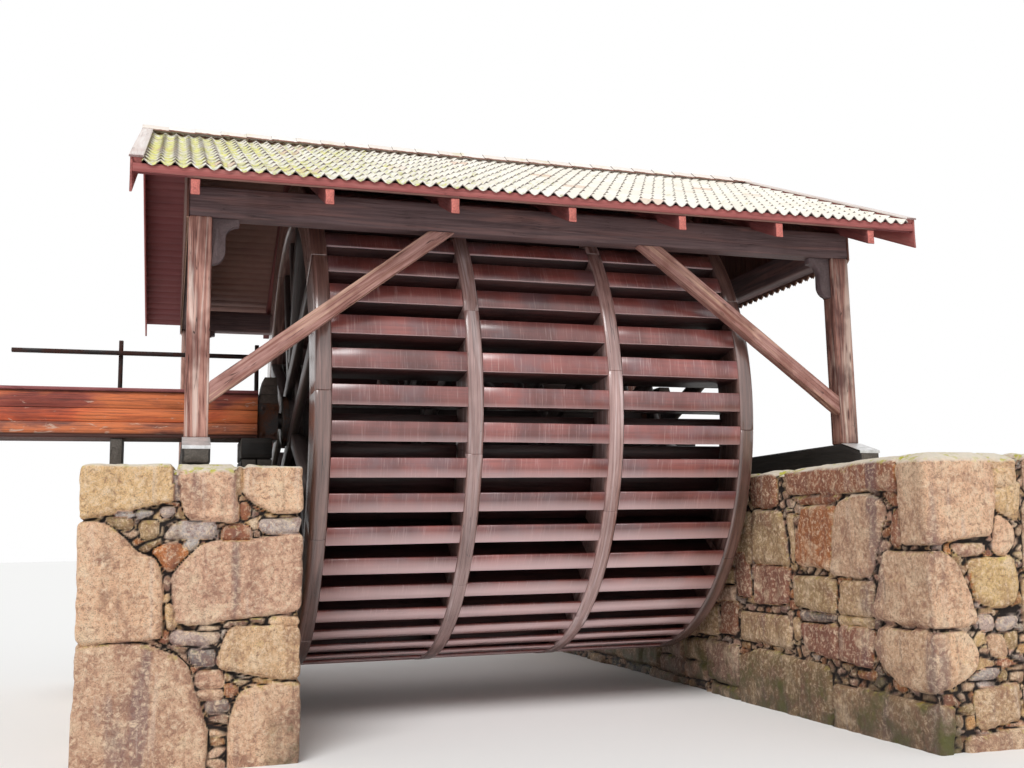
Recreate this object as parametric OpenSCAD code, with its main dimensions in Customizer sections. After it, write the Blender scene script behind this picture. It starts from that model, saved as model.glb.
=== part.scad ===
// Roofed water wheel: a wide wooden bucket wheel turning between two granite
// piers, under a tiled gable roof on four braced posts. X runs along the axle,
// Y from front to rear, Z up. The origin is on the foot of the masonry, below
// the middle of the wheel. Lengths are in millimetres.

/* [Masonry] */
// Height of both piers, from the foot of the masonry to the bed of the sills
pier_h = 2880; // [2600:5:3400]
// Gap between an outer ring of the wheel and the pier beside it
channel_gap = 199.5; // [180:0.5:230]
// Thickness of each pier, across the channel
pier_t = 2090; // [1800:5:2400]
// Distance that the left pier runs past the posts, at the front and at the rear
left_pier_over = 620; // [460:10:1500]
// Length of the right pier, from front to rear
right_pier_len = 12040; // [8400:10:14000]
// Length of the wall that runs on to the right of the right pier
wing_len = 1340; // [600:10:2500]
// Thickness of that wall
wing_t = 1000; // [500:10:1600]

/* [Wheel] */
// Outer radius of the rings
wheel_r = 3220; // [2900:5:3500]
// Height of the axle over the piers
axle_rise = 840; // [780:5:900]
// Distance from the middle of one ring to the middle of the next
ring_pitch = 1707; // [1500:1:1900]
// Thickness of a ring along the axle
ring_t = 180; // [180:5:220]
// Depth of a ring, from its outer to its inner edge
ring_depth = 560; // [460:5:640]
// Distance that the front boards' corners stay inside the rings' outer edge
rim_inset = 3; // [1:1:20]
// Distance of the sole boards from the rings' inner edge
sole_inset = 8; // [2:1:40]
// Number of buckets around the wheel
bucket_n = 50; // [36:1:56]
// Angle of the first bucket above the horizontal, at the front
bucket_phase = 4.8; // [0:0.1:7.2]
// Width of a bucket's front board, along the rim
front_board_w = 225; // [180:5:250]
// Thickness of the bucket boards
board_t = 32; // [20:1:45]
// Width of a sole board, along the inner rim
sole_board_w = 275; // [200:1:285]
// Angle of the first pair of arms above the horizontal, at the front
arm_phase = 21; // [0:1:45]
// Width of an arm
arm_w = 210; // [140:5:230]
// Thickness of an arm, along the axle
arm_t = 88; // [50:2:90]
// Width of a half arm
half_arm_w = 180; // [120:5:200]
// Gap where turned and sloping pieces meet what carries them
seat_gap = 0.3; // [0.1:0.05:0.8]

/* [Axle] */
// Width of the wooden axle across its flats
axle_w = 600; // [500:10:700]
// Distance that the axle runs past the outer rings at each end
axle_past = 60; // [20:5:80]
// Radius of the iron gudgeons in the bearings
gudgeon_r = 110; // [70:5:140]
// Distance that the right gudgeon runs past its bearing
gudgeon_past = 10; // [2:1:60]
// Radius of the shaft in its box
shaft_r = 160; // [120:5:190]
// Play between a gudgeon and its bearing
bearing_play = 0.1; // [0.05:0.05:1]

/* [Bearings] */
// Length of a bearing block along the axle
bearing_len = 260; // [200:5:300]
// Width of a bearing block across the axle
bearing_w = 500; // [400:5:700]
// Height of a bearing block over the middle of the axle
bearing_rise = 210; // [170:5:260]
// Height of a bearing block under the middle of the axle
bearing_depth = 270; // [200:5:350]
// Gap from the outer ring to the bearing
bearing_gap = 120; // [90:5:180]
// Height of the wooden hood over a bearing
hood_h = 350; // [200:5:400]
// Slope of the hood's outer side, as its inset at the top
hood_inset = 80; // [20:5:100]
// Slope of the hood's side towards the wheel, as its inset at the top
hood_inner_inset = 20; // [0:5:60]
// Distance from the channel to a pedestal
pedestal_set = 10; // [0:5:60]
// Length of a pedestal along the axle
pedestal_len = 390; // [300:5:500]
// Width of a pedestal across the axle
pedestal_w = 900; // [600:10:1200]

/* [Shaft box] */
// Distance that the box runs past the left pier
box_past = 1340; // [400:10:2000]
// Outer width of the box
box_w = 600; // [480:10:700]
// Height of the box's boards over its floor, without the lid
box_h = 555; // [480:5:620]
// Thickness of the box's boards
box_board_t = 40; // [25:1:50]
// Overhang of the lid on each side
lid_over = 30; // [0:5:80]
// Gap from the bearing to the end of the box
box_gap = 10; // [5:1:40]
// Length of a stool under the box, along the axle
stool_len = 150; // [100:5:250]
// Width of a stool under the box
stool_w = 560; // [400:10:600]
// Distance from the pier's outer face to the outer stool
stool_set = 80; // [0:5:400]

/* [Timber frame] */
// Distance from the channel to the outer faces of the posts
post_set = 1150; // [1100:10:1500]
// Gap between the wheel and the plane of the braces' inner faces
brace_gap = 20; // [10:5:80]
// Width of a square post
post_w = 240; // [200:5:260]
// Gap between the wheel's rim and the rafters, square to the slope
roof_gap = 65.5; // [40:0.5:160]
// Depth of the wall plates and tie beams
plate_h = 330; // [320:5:340]
// Height of a sill
sill_h = 295; // [200:5:350]
// Width of a sill
sill_w = 275; // [262:1:320]
// Distance that a sill runs past the posts, at the front and at the rear
sill_over = 370; // [250:5:450]
// Drop of the weathered top at a sill's end
sill_drop = 115; // [60:5:140]
// Thickness of the sheet metal on a sill's end
sheet_t = 4; // [2:1:6]
// Height of the sheet metal's lip over a sill's end grain
sheet_lip = 30; // [10:5:80]

/* [Braces and brackets] */
// Height where a brace's upper edge leaves its post, over the piers
brace_rise = 880; // [700:5:1100]
// Slope of the braces in degrees
brace_angle = 37; // [34:0.5:42]
// Width of a brace
brace_w = 185; // [150:5:210]
// Thickness of a brace, from front to rear
brace_t = 140; // [100:5:145]
// Reach of a bracket from its post
bracket_reach = 280; // [220:5:320]
// Height of a bracket
bracket_h = 500; // [420:5:560]
// Thickness of a bracket
bracket_t = 120; // [80:5:160]
// Height of a bracket's square nose
bracket_nose = 70; // [40:5:90]
// Depth of the bracket's waist, from the post
bracket_waist = 140; // [110:5:160]

/* [Roof] */
// Distance that the roof runs past the frame at each gable
verge_over = 575; // [200:5:800]
// Distance from the posts' outer faces to the front face of the fascia
eave_over = 590; // [400:5:700]
// Slope of the roof in degrees
roof_pitch = 24; // [23:0.5:26]
// Depth of a rafter's notch at the outer face of the wall plate
rafter_notch = 38.5; // [15:0.5:60]
// Depth of a rafter, square to the slope
rafter_h = 160; // [130:5:180]
// Width of a rafter
rafter_w = 100; // [70:5:120]
// Number of rafters on each slope
rafter_n = 7; // [5:1:9]
// Distance between the last three rafters at the right end
rafter_last_bay = 1260; // [1000:5:1500]
// Thickness of the roof boards
roof_board_t = 25; // [18:1:35]
// Thickness of battens and tiles together, square to the slope, up to the rolls' crests
tile_layer_t = 136; // [100:1:150]
// Distance that the tiles reach past the fascia
tile_over = 20; // [5:1:40]
// Thickness of a tile
tile_t = 15; // [10:1:20]
// Distance from one roll of the tiles to the next
roll_pitch = 148; // [130:1:180]
// Height of a roll over the pans beside it
roll_h = 45; // [30:1:55]
// Width of a roll at its foot
roll_foot_w = 105; // [80:1:120]
// Width of a roll at its crest
roll_crest_w = 25; // [15:1:50]
// Thickness of fascias and barge boards
trim_t = 25; // [18:1:35]
// Height of the fascia's lower edge over the rafters' ends
fascia_rise = 18; // [0:1:20]
// Distance that the barge board's foot hangs below the rafter's foot
barge_drop = 20; // [0:5:60]
// Width of the boards that cover the tiles' edges at the gables
verge_w = 140; // [120:5:200]
// Thickness of those boards
verge_t = 22; // [15:1:30]
// Distance that those boards reach past the barge boards
verge_past = 15; // [0:1:30]
// Distance that the gable boards hang below the wall plates
gable_drop = 70; // [40:5:120]
// Thickness of the gable boards
gable_t = 25; // [18:1:35]
// Width of a ridge tile
ridge_w = 300; // [220:10:360]
// Height of a ridge tile over the meeting of the tile slopes
ridge_rise = 45; // [25:5:70]
// Thickness of a ridge tile
ridge_t = 25; // [15:1:35]
// Width of a ridge tile's flat top
ridge_flat = 100; // [40:5:160]
// Gap from a ridge tile to the boards at the gables
ridge_gap = 5; // [1:1:20]

/* [Handrail] */
// Distance from the channel to the middle of the rail's right post
rail_post_set = 80; // [40:5:400]
// Distance from the pier's outer face to the middle of the rail's left post
rail_end_set = 100; // [40:5:600]
// Distance of the rail's posts behind the axle
rail_y = 1500; // [1200:10:2400]
// Height of the rail's posts over the pier
rail_post_h = 2140; // [1600:10:2400]
// Height of the rail over the pier
rail_h = 1920; // [1400:10:2100]
// Thickness of the rail and its posts
rail_t = 60; // [40:2:90]

/* [Hidden] */
$fn = 96;

// Extra length of a cut, so that it passes through the face it starts on.
cut_past = 1;

// The wheel
axle_z = pier_h + axle_rise;
rings_out = 1.5 * ring_pitch + ring_t / 2;
bay_len = ring_pitch - ring_t;
ring_in = wheel_r - ring_depth;
rim_r = sqrt(pow(wheel_r - rim_inset, 2) - pow(front_board_w, 2));
sole_r = ring_in + board_t + sole_inset;
axle_end = rings_out + axle_past;

// The bearings and the shaft box
bearing_in = rings_out + bearing_gap;
bearing_out = bearing_in + bearing_len;
pedestal_top = axle_z - bearing_depth;
channel_x = rings_out + channel_gap;
pier_out = channel_x + pier_t;
box_in = bearing_out + box_gap;
box_reach = pier_out + box_past;
side_z = pedestal_top + box_board_t;
lid_z = side_z + box_h;

// The frame: outer faces at frame_x and frame_y, and the middles of the posts
frame_x = channel_x + post_set;
frame_y = wheel_r + brace_gap + brace_t;
post_x = frame_x - post_w / 2;
post_y = frame_y - post_w / 2;
post_z = pier_h + sill_h;
sill_y = frame_y + sill_over;
sill_end_z = post_z - sill_drop;
brace_z = pier_h + brace_rise;

// The roof: the rafters clear the wheel, and the wall plates carry the rafters
slope = tan(roof_pitch);
rafter_v = rafter_h / cos(roof_pitch);
roof_board_v = roof_board_t / cos(roof_pitch);
crest_rise = rafter_h + roof_board_t + tile_layer_t;
rafter_ridge_z = axle_z + (wheel_r + roof_gap) / cos(roof_pitch);
plate_top = rafter_ridge_z - frame_y * slope + rafter_notch;
plate_z = plate_top - plate_h;
roof_end = frame_x + verge_over - trim_t;
verge_end = roof_end + trim_t + verge_past;
eave_y = frame_y + eave_over;
tail_y = eave_y - trim_t;
lip_y = eave_y + tile_over;
tile_top_ridge = rafter_ridge_z + crest_rise / cos(roof_pitch);
lip_z = tile_top_z(lip_y) - (roll_h + tile_t) / cos(roof_pitch);

// Height of the rafters' underside, at a distance y from the middle.
function rafter_z(y) = rafter_ridge_z - abs(y) * slope;

// Height of the tiles' crests, at a distance y from the middle.
function tile_top_z(y) = tile_top_ridge - abs(y) * slope;

// A shape drawn as [y, z] and carried along X, from x to x + len.
module along_x(x, len) {
    translate([x, 0, 0]) rotate([90, 0, 90]) linear_extrude(len) children();
}

// A shape drawn as [x, z] and carried along Y, from y to y + len.
module along_y(y, len) {
    translate([0, y + len, 0]) rotate([90, 0, 0]) linear_extrude(len) children();
}

// A box between two corners.
module block(from, to) {
    translate(from) cube(to - from);
}

// The same children twice, mirrored left to right.
module both_ends() {
    children();
    mirror([1, 0, 0]) children();
}

// The same children twice, mirrored front to rear.
module both_sides() {
    children();
    mirror([0, 1, 0]) children();
}

// Masonry

module pier(side, len) {
    color("rosybrown") mirror([side < 0 ? 1 : 0, 0, 0])
        block([channel_x, -len / 2, 0], [pier_out, len / 2, pier_h]);
}

module left_pier() {
    pier(-1, 2 * (frame_y + left_pier_over));
}

module right_pier() {
    pier(1, right_pier_len);
}

module right_wing_wall() {
    wing_y = -right_pier_len / 2;
    color("tan")
        block([pier_out, wing_y, 0], [pier_out + wing_len, wing_y + wing_t, pier_h]);
}

// Sills, posts, plates and tie beams

// A sill lies along Y under two posts, and its ends are cut to shed rain.
module sill(side) {
    color("dimgray") along_x(side * post_x - sill_w / 2, sill_w) polygon([
        [-sill_y, pier_h], [sill_y, pier_h], [sill_y, sill_end_z], [frame_y, post_z],
        [-frame_y, post_z], [-sill_y, sill_end_z]
    ]);
}

module left_sill() {
    sill(-1);
}

module right_sill() {
    sill(1);
}

// Bent sheet metal on the sloping end of each sill, turned down over the end grain.
module sill_flashings() {
    lip_foot = sill_end_z - sheet_lip;
    color("gainsboro") both_ends() both_sides()
        along_x(post_x - sill_w / 2, sill_w) polygon([
            [frame_y, post_z], [sill_y, sill_end_z], [sill_y, lip_foot],
            [sill_y + sheet_t, lip_foot], [sill_y + sheet_t, sill_end_z + sheet_t],
            [frame_y, post_z + sheet_t]
        ]);
}

module post(side_x, side_y) {
    color("rosybrown") translate([side_x * post_x, side_y * post_y, post_z])
        translate([-post_w / 2, -post_w / 2, 0]) cube([post_w, post_w, plate_z - post_z]);
}

module front_left_post() {
    post(-1, -1);
}

module front_right_post() {
    post(1, -1);
}

module rear_left_post() {
    post(-1, 1);
}

module rear_right_post() {
    post(1, 1);
}

module wall_plate(side) {
    color("sienna") translate([0, side * post_y, 0])
        block([-frame_x, -post_w / 2, plate_z], [frame_x, post_w / 2, plate_top]);
}

module front_wall_plate() {
    wall_plate(-1);
}

module rear_wall_plate() {
    wall_plate(1);
}

module tie_beam(side) {
    reach = frame_y - post_w;
    color("sienna") translate([side * post_x, 0, 0])
        block([-post_w / 2, -reach, plate_z], [post_w / 2, reach, plate_top]);
}

module left_tie_beam() {
    tie_beam(-1);
}

module right_tie_beam() {
    tie_beam(1);
}

// Two braces of one long side, from the posts up to the wall plate.
module braces(side) {
    foot_x = frame_x - post_w;
    upright = brace_w / cos(brace_angle);
    level = brace_w / sin(brace_angle);
    head_x = foot_x - (plate_z - brace_z) / tan(brace_angle);
    front_y = side < 0 ? -frame_y : frame_y - brace_t;
    color("rosybrown") both_ends() along_y(front_y, brace_t) polygon([
        [foot_x, brace_z], [head_x, plate_z], [head_x - level, plate_z],
        [foot_x, brace_z - upright]
    ]);
}

module front_braces() {
    braces(-1);
}

module rear_braces() {
    braces(1);
}

// Outline of a scalloped bracket: a square nose, a hollow quarter round, a short
// straight waist and a full quarter round back to the post.
module bracket_outline() {
    hollow = bracket_reach - bracket_waist;
    difference() {
        square([bracket_reach, bracket_h]);
        translate([bracket_reach, bracket_h - bracket_nose - hollow]) circle(hollow, $fn = 48);
        translate([bracket_waist, -cut_past])
            square([bracket_reach, bracket_h - bracket_nose - hollow + cut_past]);
        difference() {
            square(bracket_waist);
            translate([0, bracket_waist]) circle(bracket_waist, $fn = 48);
        }
    }
}

// Two brackets at the head of each post, one under the plate, one under the tie beam.
module post_brackets() {
    face_x = frame_x - post_w;
    face_y = frame_y - post_w;
    foot_z = plate_z - bracket_h;
    color("rosybrown") both_ends() both_sides() {
        along_y(post_y - bracket_t / 2, bracket_t) translate([face_x, foot_z])
            mirror([1, 0]) bracket_outline();
        along_x(post_x - bracket_t / 2, bracket_t) translate([face_y, foot_z])
            mirror([1, 0]) bracket_outline();
    }
}

// Roof

// Left edge of a rafter. The last three stand closer together than the rest.
function rafter_x(i) =
    let (last_x = frame_x - rafter_w, left_n = rafter_n - 3, left_x = last_x - 2 * rafter_last_bay)
        i < left_n ? -frame_x + i * (left_x + frame_x) / left_n : left_x + (i - left_n) * rafter_last_bay;

// Rafters of one slope, notched over the wall plate and cut upright at the ridge.
module rafters(side) {
    color("firebrick") mirror([0, side > 0 ? 1 : 0, 0]) difference() {
        for (i = [0 : rafter_n - 1])
            along_x(rafter_x(i), rafter_w) polygon([
                [-tail_y, rafter_z(tail_y)], [0, rafter_z(0)], [0, rafter_z(0) + rafter_v],
                [-tail_y, rafter_z(tail_y) + rafter_v]
            ]);
        block([-2 * frame_x, -frame_y, plate_z], [2 * frame_x, post_w - frame_y, plate_top]);
    }
}

module front_rafters() {
    rafters(-1);
}

module rear_rafters() {
    rafters(1);
}

// A sheet on the front slope, between two heights over the rafters' underside.
module slope_sheet(low, high) {
    along_x(-roof_end, 2 * roof_end) polygon([
        [-tail_y, rafter_z(tail_y) + low], [0, rafter_z(0) + low], [0, rafter_z(0) + high],
        [-tail_y, rafter_z(tail_y) + high]
    ]);
}

module front_roof_boards() {
    color("indianred") slope_sheet(rafter_v, rafter_v + roof_board_v);
}

module rear_roof_boards() {
    color("indianred") mirror([0, 1, 0]) slope_sheet(rafter_v, rafter_v + roof_board_v);
}

// The tiles seen along the slope, as [x, rise] over the rafters' underside: pans with
// a roll every roll_pitch. It is wider and deeper than the roof, which cuts it off.
module roll_outline() {
    roll_n = floor(2 * roof_end / roll_pitch);
    pan_rise = crest_rise - roll_h;
    reach = roof_end + cut_past;
    polygon([
        [reach, 0], [reach, pan_rise],
        for (i = [roll_n - 1 : -1 : 0]) let (x = (i - (roll_n - 1) / 2) * roll_pitch) each [
            [x + roll_foot_w / 2, pan_rise], [x + roll_crest_w / 2, crest_rise],
            [x - roll_crest_w / 2, crest_rise], [x - roll_foot_w / 2, pan_rise]
        ],
        [-reach, pan_rise], [-reach, 0]
    ]);
}

// Battens and tiles of the front slope. The tiles reach past the fascia at the eave.
module tile_slope() {
    under = rafter_v + roof_board_v;
    over = crest_rise * slope + cut_past;
    intersection() {
        along_x(-roof_end, 2 * roof_end) polygon([
            [-tail_y, rafter_z(tail_y) + under], [0, rafter_z(0) + under],
            [0, tile_top_z(0) + cut_past], [-lip_y, tile_top_z(lip_y) + cut_past],
            [-lip_y, lip_z], [-tail_y, lip_z]
        ]);
        translate([0, 0, rafter_ridge_z]) rotate([90 + roof_pitch, 0, 0])
            translate([0, 0, -over]) linear_extrude(over + lip_y / cos(roof_pitch) + cut_past)
                roll_outline();
    }
}

module front_tiles() {
    color("wheat") tile_slope();
}

module rear_tiles() {
    color("wheat") mirror([0, 1, 0]) tile_slope();
}

// Ridge tiles as one angled cap that lies on both slopes.
module ridge_tiles() {
    edge = ridge_w / 2;
    seat_z = tile_top_ridge + seat_gap;
    foot_z = seat_z - edge * slope;
    crown_z = tile_top_ridge + ridge_rise;
    color("saddlebrown") along_x(-verge_end, 2 * verge_end) polygon([
        [-edge, foot_z], [0, seat_z], [edge, foot_z], [edge, foot_z + ridge_t],
        [ridge_flat / 2, crown_z], [-ridge_flat / 2, crown_z], [-edge, foot_z + ridge_t]
    ]);
}

// The fascia stands in front of the roof boards' ends and under the tiles' lip.
module fascia() {
    foot_z = rafter_z(tail_y) + rafter_v + fascia_rise;
    block([-roof_end, -eave_y, foot_z], [roof_end, -tail_y, lip_z]);
}

module front_fascia() {
    color("brown") fascia();
}

module rear_fascia() {
    color("brown") mirror([0, 1, 0]) fascia();
}

// Barge boards on the front slope, at both ends of the roof, as high as the tiles.
module barge_boards() {
    foot_z = rafter_z(tail_y) - barge_drop;
    both_ends() along_x(roof_end, trim_t) polygon([
        [-eave_y, foot_z], [0, foot_z + eave_y * slope], [0, tile_top_z(0)],
        [-eave_y, tile_top_z(eave_y)]
    ]);
}

module front_barge_boards() {
    color("brown") barge_boards();
}

module rear_barge_boards() {
    color("brown") mirror([0, 1, 0]) barge_boards();
}

// Boards that lie on the barge boards and the outermost rolls, up to the ridge tiles.
module verge_boards() {
    top_y = ridge_w / 2 + ridge_gap;
    verge_v = verge_t / cos(roof_pitch);
    both_ends() along_x(verge_end - verge_w, verge_w) translate([0, seat_gap]) polygon([
        [-lip_y, tile_top_z(lip_y)], [-top_y, tile_top_z(top_y)],
        [-top_y, tile_top_z(top_y) + verge_v], [-lip_y, tile_top_z(lip_y) + verge_v]
    ]);
}

module front_verge_boards() {
    color("rosybrown") verge_boards();
}

module rear_verge_boards() {
    color("rosybrown") mirror([0, 1, 0]) verge_boards();
}

// Upright boards that close the gable, outside the end rafters.
module gable_boards(side) {
    foot_z = plate_z - gable_drop;
    eave_z = rafter_z(frame_y) + rafter_v - seat_gap;
    color("indianred") along_x(side < 0 ? -frame_x - gable_t : frame_x, gable_t) polygon([
        [-frame_y, foot_z], [frame_y, foot_z], [frame_y, eave_z],
        [0, eave_z + frame_y * slope], [-frame_y, eave_z]
    ]);
}

module left_gable_boards() {
    gable_boards(-1);
}

module right_gable_boards() {
    gable_boards(1);
}

// Bearings

module pedestals() {
    start = channel_x + pedestal_set;
    color("dimgray") both_ends()
        block([start, -pedestal_w / 2, pier_h], [start + pedestal_len, pedestal_w / 2, pedestal_top]);
}

module bearing(side) {
    top = axle_z + bearing_rise;
    color("slategray") mirror([side < 0 ? 1 : 0, 0, 0]) difference() {
        block([bearing_in, -bearing_w / 2, pedestal_top], [bearing_out, bearing_w / 2, top]);
        along_x(bearing_in - cut_past, bearing_len + 2 * cut_past) translate([0, axle_z])
            circle(gudgeon_r + bearing_play);
    }
}

module left_bearing() {
    bearing(-1);
}

module right_bearing() {
    bearing(1);
}

module bearing_hoods() {
    foot = axle_z + bearing_rise;
    color("dimgray") both_ends() along_y(-bearing_w / 2, bearing_w) polygon([
        [bearing_in, foot], [bearing_out, foot], [bearing_out - hood_inset, foot + hood_h],
        [bearing_in + hood_inner_inset, foot + hood_h]
    ]);
}

// Box around the shaft, on the left pedestal and two stools

module shaft_box_sides() {
    color("sienna") both_sides()
        block([-box_reach, -box_w / 2, side_z], [-box_in, -box_w / 2 + box_board_t, lid_z]);
}

module shaft_box_floor() {
    color("sienna")
        block([-box_reach, -box_w / 2, pedestal_top], [-box_in, box_w / 2, side_z]);
}

module shaft_box_lid() {
    half_w = box_w / 2 + lid_over;
    color("indianred")
        block([-box_reach, -half_w, lid_z], [-box_in, half_w, lid_z + box_board_t]);
}

// One stool stands on the sill and one near the pier's outer face.
module stool(x, z) {
    block([x, -stool_w / 2, z], [x + stool_len, stool_w / 2, pedestal_top]);
}

module shaft_box_stools() {
    color("dimgray") {
        stool(-post_x - stool_len / 2, post_z);
        stool(-pier_out + stool_set, pier_h);
    }
}

// Handrail behind the shaft box

rail_post_x = channel_x + rail_post_set;

module handrail_posts() {
    color("black") for (x = [-rail_post_x, -pier_out + rail_end_set])
        translate([x - rail_t / 2, rail_y, pier_h]) cube([rail_t, rail_t, rail_post_h]);
}

module handrail() {
    foot_z = pier_h + rail_h;
    color("black")
        block([-box_reach, rail_y - rail_t, foot_z],
            [-rail_post_x + rail_t / 2, rail_y, foot_z + rail_t]);
}

// Wheel

module axle() {
    color("dimgray") around(arm_phase) rotate([0, 90, 0]) rotate([0, 0, 22.5])
        cylinder(r = axle_w / 2 / cos(22.5), h = 2 * axle_end, center = true, $fn = 8);
}

module shaft() {
    journal_len = box_in + cut_past - axle_end;
    color("slategray") union() {
        along_x(-box_in - cut_past, journal_len) translate([0, axle_z]) circle(gudgeon_r);
        along_x(-box_reach, box_reach - box_in) translate([0, axle_z]) circle(shaft_r);
    }
}

module right_gudgeon() {
    color("slategray") along_x(axle_end, bearing_out + gudgeon_past - axle_end)
        translate([0, axle_z]) circle(gudgeon_r);
}

module ring(i) {
    color("dimgray") along_x(ring_pitch * (i - 2.5) - ring_t / 2, ring_t)
        translate([0, axle_z]) difference() {
            circle(wheel_r, $fn = 120);
            circle(ring_in, $fn = 120);
        }
}

module ring_1() {
    ring(1);
}

module ring_2() {
    ring(2);
}

module ring_3() {
    ring(3);
}

module ring_4() {
    ring(4);
}

// Turns the children around the axle, from straight ahead at the front upwards.
module around(angle) {
    translate([0, 0, axle_z]) rotate([-angle, 0, 0]) children();
}

// Keeps the part of the children that lies inside the rings.
module inside_rings() {
    intersection() {
        children();
        along_x(-2 * ring_pitch, 4 * ring_pitch) circle(ring_in - seat_gap, $fn = 360);
    }
}

// Two parallel arms in each ring that clasp the axle between them. Those of one
// direction lie in the left half of the ring's thickness, the others in the right.
module clasp_arms(angle, half) {
    low_x = half < 0 ? -arm_t - seat_gap / 2 : seat_gap / 2;
    middle = axle_w / 2 + seat_gap + arm_w / 2;
    color("gray") for (i = [1 : 4], side = [-1, 1]) around(angle) inside_rings()
        translate([ring_pitch * (i - 2.5) + low_x, -wheel_r, side * middle - arm_w / 2])
            cube([arm_t, 2 * wheel_r, arm_w]);
}

module level_arms() {
    clasp_arms(arm_phase, -1);
}

module upright_arms() {
    clasp_arms(arm_phase + 90, 1);
}

// Half arms run from the corners where the clasping arms cross to the rings.
module half_arms() {
    corner = (axle_w / 2 + arm_w + 2 * seat_gap) * sqrt(2);
    half = half_arm_w / 2;
    color("gray") for (i = [1 : 4], k = [0 : 3]) around(arm_phase + 45 + 90 * k) inside_rings()
        along_x(ring_pitch * (i - 2.5) - arm_t, 2 * arm_t) polygon([
            [-corner, 0], [-corner - half, -half], [-wheel_r, -half], [-wheel_r, half],
            [-corner - half, half]
        ]);
}

// One board of every bucket, between each two rings. It reaches from r_in to r_out
// from the axle, and along the rim from the underside of the bucket's floor by t.
module bucket_boards(r_in, r_out, t) {
    half_len = bay_len / 2 - seat_gap;
    foot = -board_t / 2;
    for (bay = [-1, 0, 1], k = [0 : bucket_n - 1])
        around(bucket_phase + k * 360 / bucket_n) translate([bay * ring_pitch, 0, foot])
            block([-half_len, -r_out, 0], [half_len, -r_in, t]);
}

module bucket_fronts() {
    color("firebrick") bucket_boards(rim_r - board_t, rim_r, front_board_w);
}

module bucket_floors() {
    color("brown") bucket_boards(sole_r + seat_gap, rim_r - board_t - seat_gap, board_t);
}

module sole_boards() {
    color("dimgray") bucket_boards(sole_r - board_t, sole_r, sole_board_w);
}

left_pier();
right_pier();
right_wing_wall();
left_sill();
right_sill();
sill_flashings();
front_left_post();
front_right_post();
rear_left_post();
rear_right_post();
front_wall_plate();
rear_wall_plate();
left_tie_beam();
right_tie_beam();
front_braces();
rear_braces();
post_brackets();
front_rafters();
rear_rafters();
front_roof_boards();
rear_roof_boards();
front_tiles();
rear_tiles();
ridge_tiles();
front_fascia();
rear_fascia();
front_barge_boards();
rear_barge_boards();
front_verge_boards();
rear_verge_boards();
left_gable_boards();
right_gable_boards();
pedestals();
left_bearing();
right_bearing();
bearing_hoods();
shaft_box_sides();
shaft_box_floor();
shaft_box_lid();
shaft_box_stools();
handrail_posts();
handrail();
axle();
shaft();
right_gudgeon();
ring_1();
ring_2();
ring_3();
ring_4();
level_arms();
upright_arms();
half_arms();
bucket_fronts();
bucket_floors();
sole_boards();
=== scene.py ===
# %% [markdown]
# # A roofed water wheel
# A wide wooden bucket wheel turns between two granite piers, under a tiled
# gable roof on four braced posts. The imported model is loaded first, as a fixed
# frame: every piece made below sits where one of its nodes sits. Lengths are in
# metres. X runs along the axle, Y from front to rear, Z up, and the origin is
# on the foot of the masonry.

import bpy
import numpy as np
from mathutils import Matrix, Vector


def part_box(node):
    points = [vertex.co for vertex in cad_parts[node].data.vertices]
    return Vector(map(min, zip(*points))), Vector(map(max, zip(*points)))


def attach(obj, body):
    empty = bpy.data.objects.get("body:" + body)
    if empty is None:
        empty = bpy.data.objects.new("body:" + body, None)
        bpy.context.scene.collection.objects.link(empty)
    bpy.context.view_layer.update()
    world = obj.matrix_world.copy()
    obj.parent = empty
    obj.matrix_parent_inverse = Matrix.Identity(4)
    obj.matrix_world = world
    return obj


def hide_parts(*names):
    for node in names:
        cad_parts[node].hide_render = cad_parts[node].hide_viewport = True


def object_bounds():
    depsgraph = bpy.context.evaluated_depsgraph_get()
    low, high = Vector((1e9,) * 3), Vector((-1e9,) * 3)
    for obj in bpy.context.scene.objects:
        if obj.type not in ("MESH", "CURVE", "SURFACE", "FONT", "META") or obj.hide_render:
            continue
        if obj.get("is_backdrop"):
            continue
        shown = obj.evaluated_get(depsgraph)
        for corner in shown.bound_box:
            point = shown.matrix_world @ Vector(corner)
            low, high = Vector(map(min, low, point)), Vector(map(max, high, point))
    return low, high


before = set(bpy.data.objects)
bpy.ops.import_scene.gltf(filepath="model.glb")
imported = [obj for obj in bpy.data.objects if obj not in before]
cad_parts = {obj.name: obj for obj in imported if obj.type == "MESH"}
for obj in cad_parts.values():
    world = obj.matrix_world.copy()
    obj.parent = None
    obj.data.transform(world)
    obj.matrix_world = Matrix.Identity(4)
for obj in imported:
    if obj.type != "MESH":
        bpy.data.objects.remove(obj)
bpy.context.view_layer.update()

# %% [markdown]
# ## The camera
# The camera comes first, so that each piece can be judged in the photograph's
# own view. It stands in front of the left pier, two metres above its foot, and
# looks a little to the right and up. Its place and angles were worked out from
# edges whose real sizes are known. Turning by hand until it looks right would
# work too, but it would hide errors in the sizes.

# %% Place the camera
CAMERA_PLACE = (-4.12, -15.0, 2.1)
CAMERA_TURN = 0.3034
CAMERA_RISE = 0.1396
CAMERA_ROLL = -0.0182
CAMERA_LENS = 38.51
FILM_WIDTH = 36.0
FAR_CLIP = 500.0


def put(name, data):
    """A new object with the data, linked into the scene."""
    obj = bpy.data.objects.new(name, data)
    bpy.context.scene.collection.objects.link(obj)
    return obj


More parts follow.
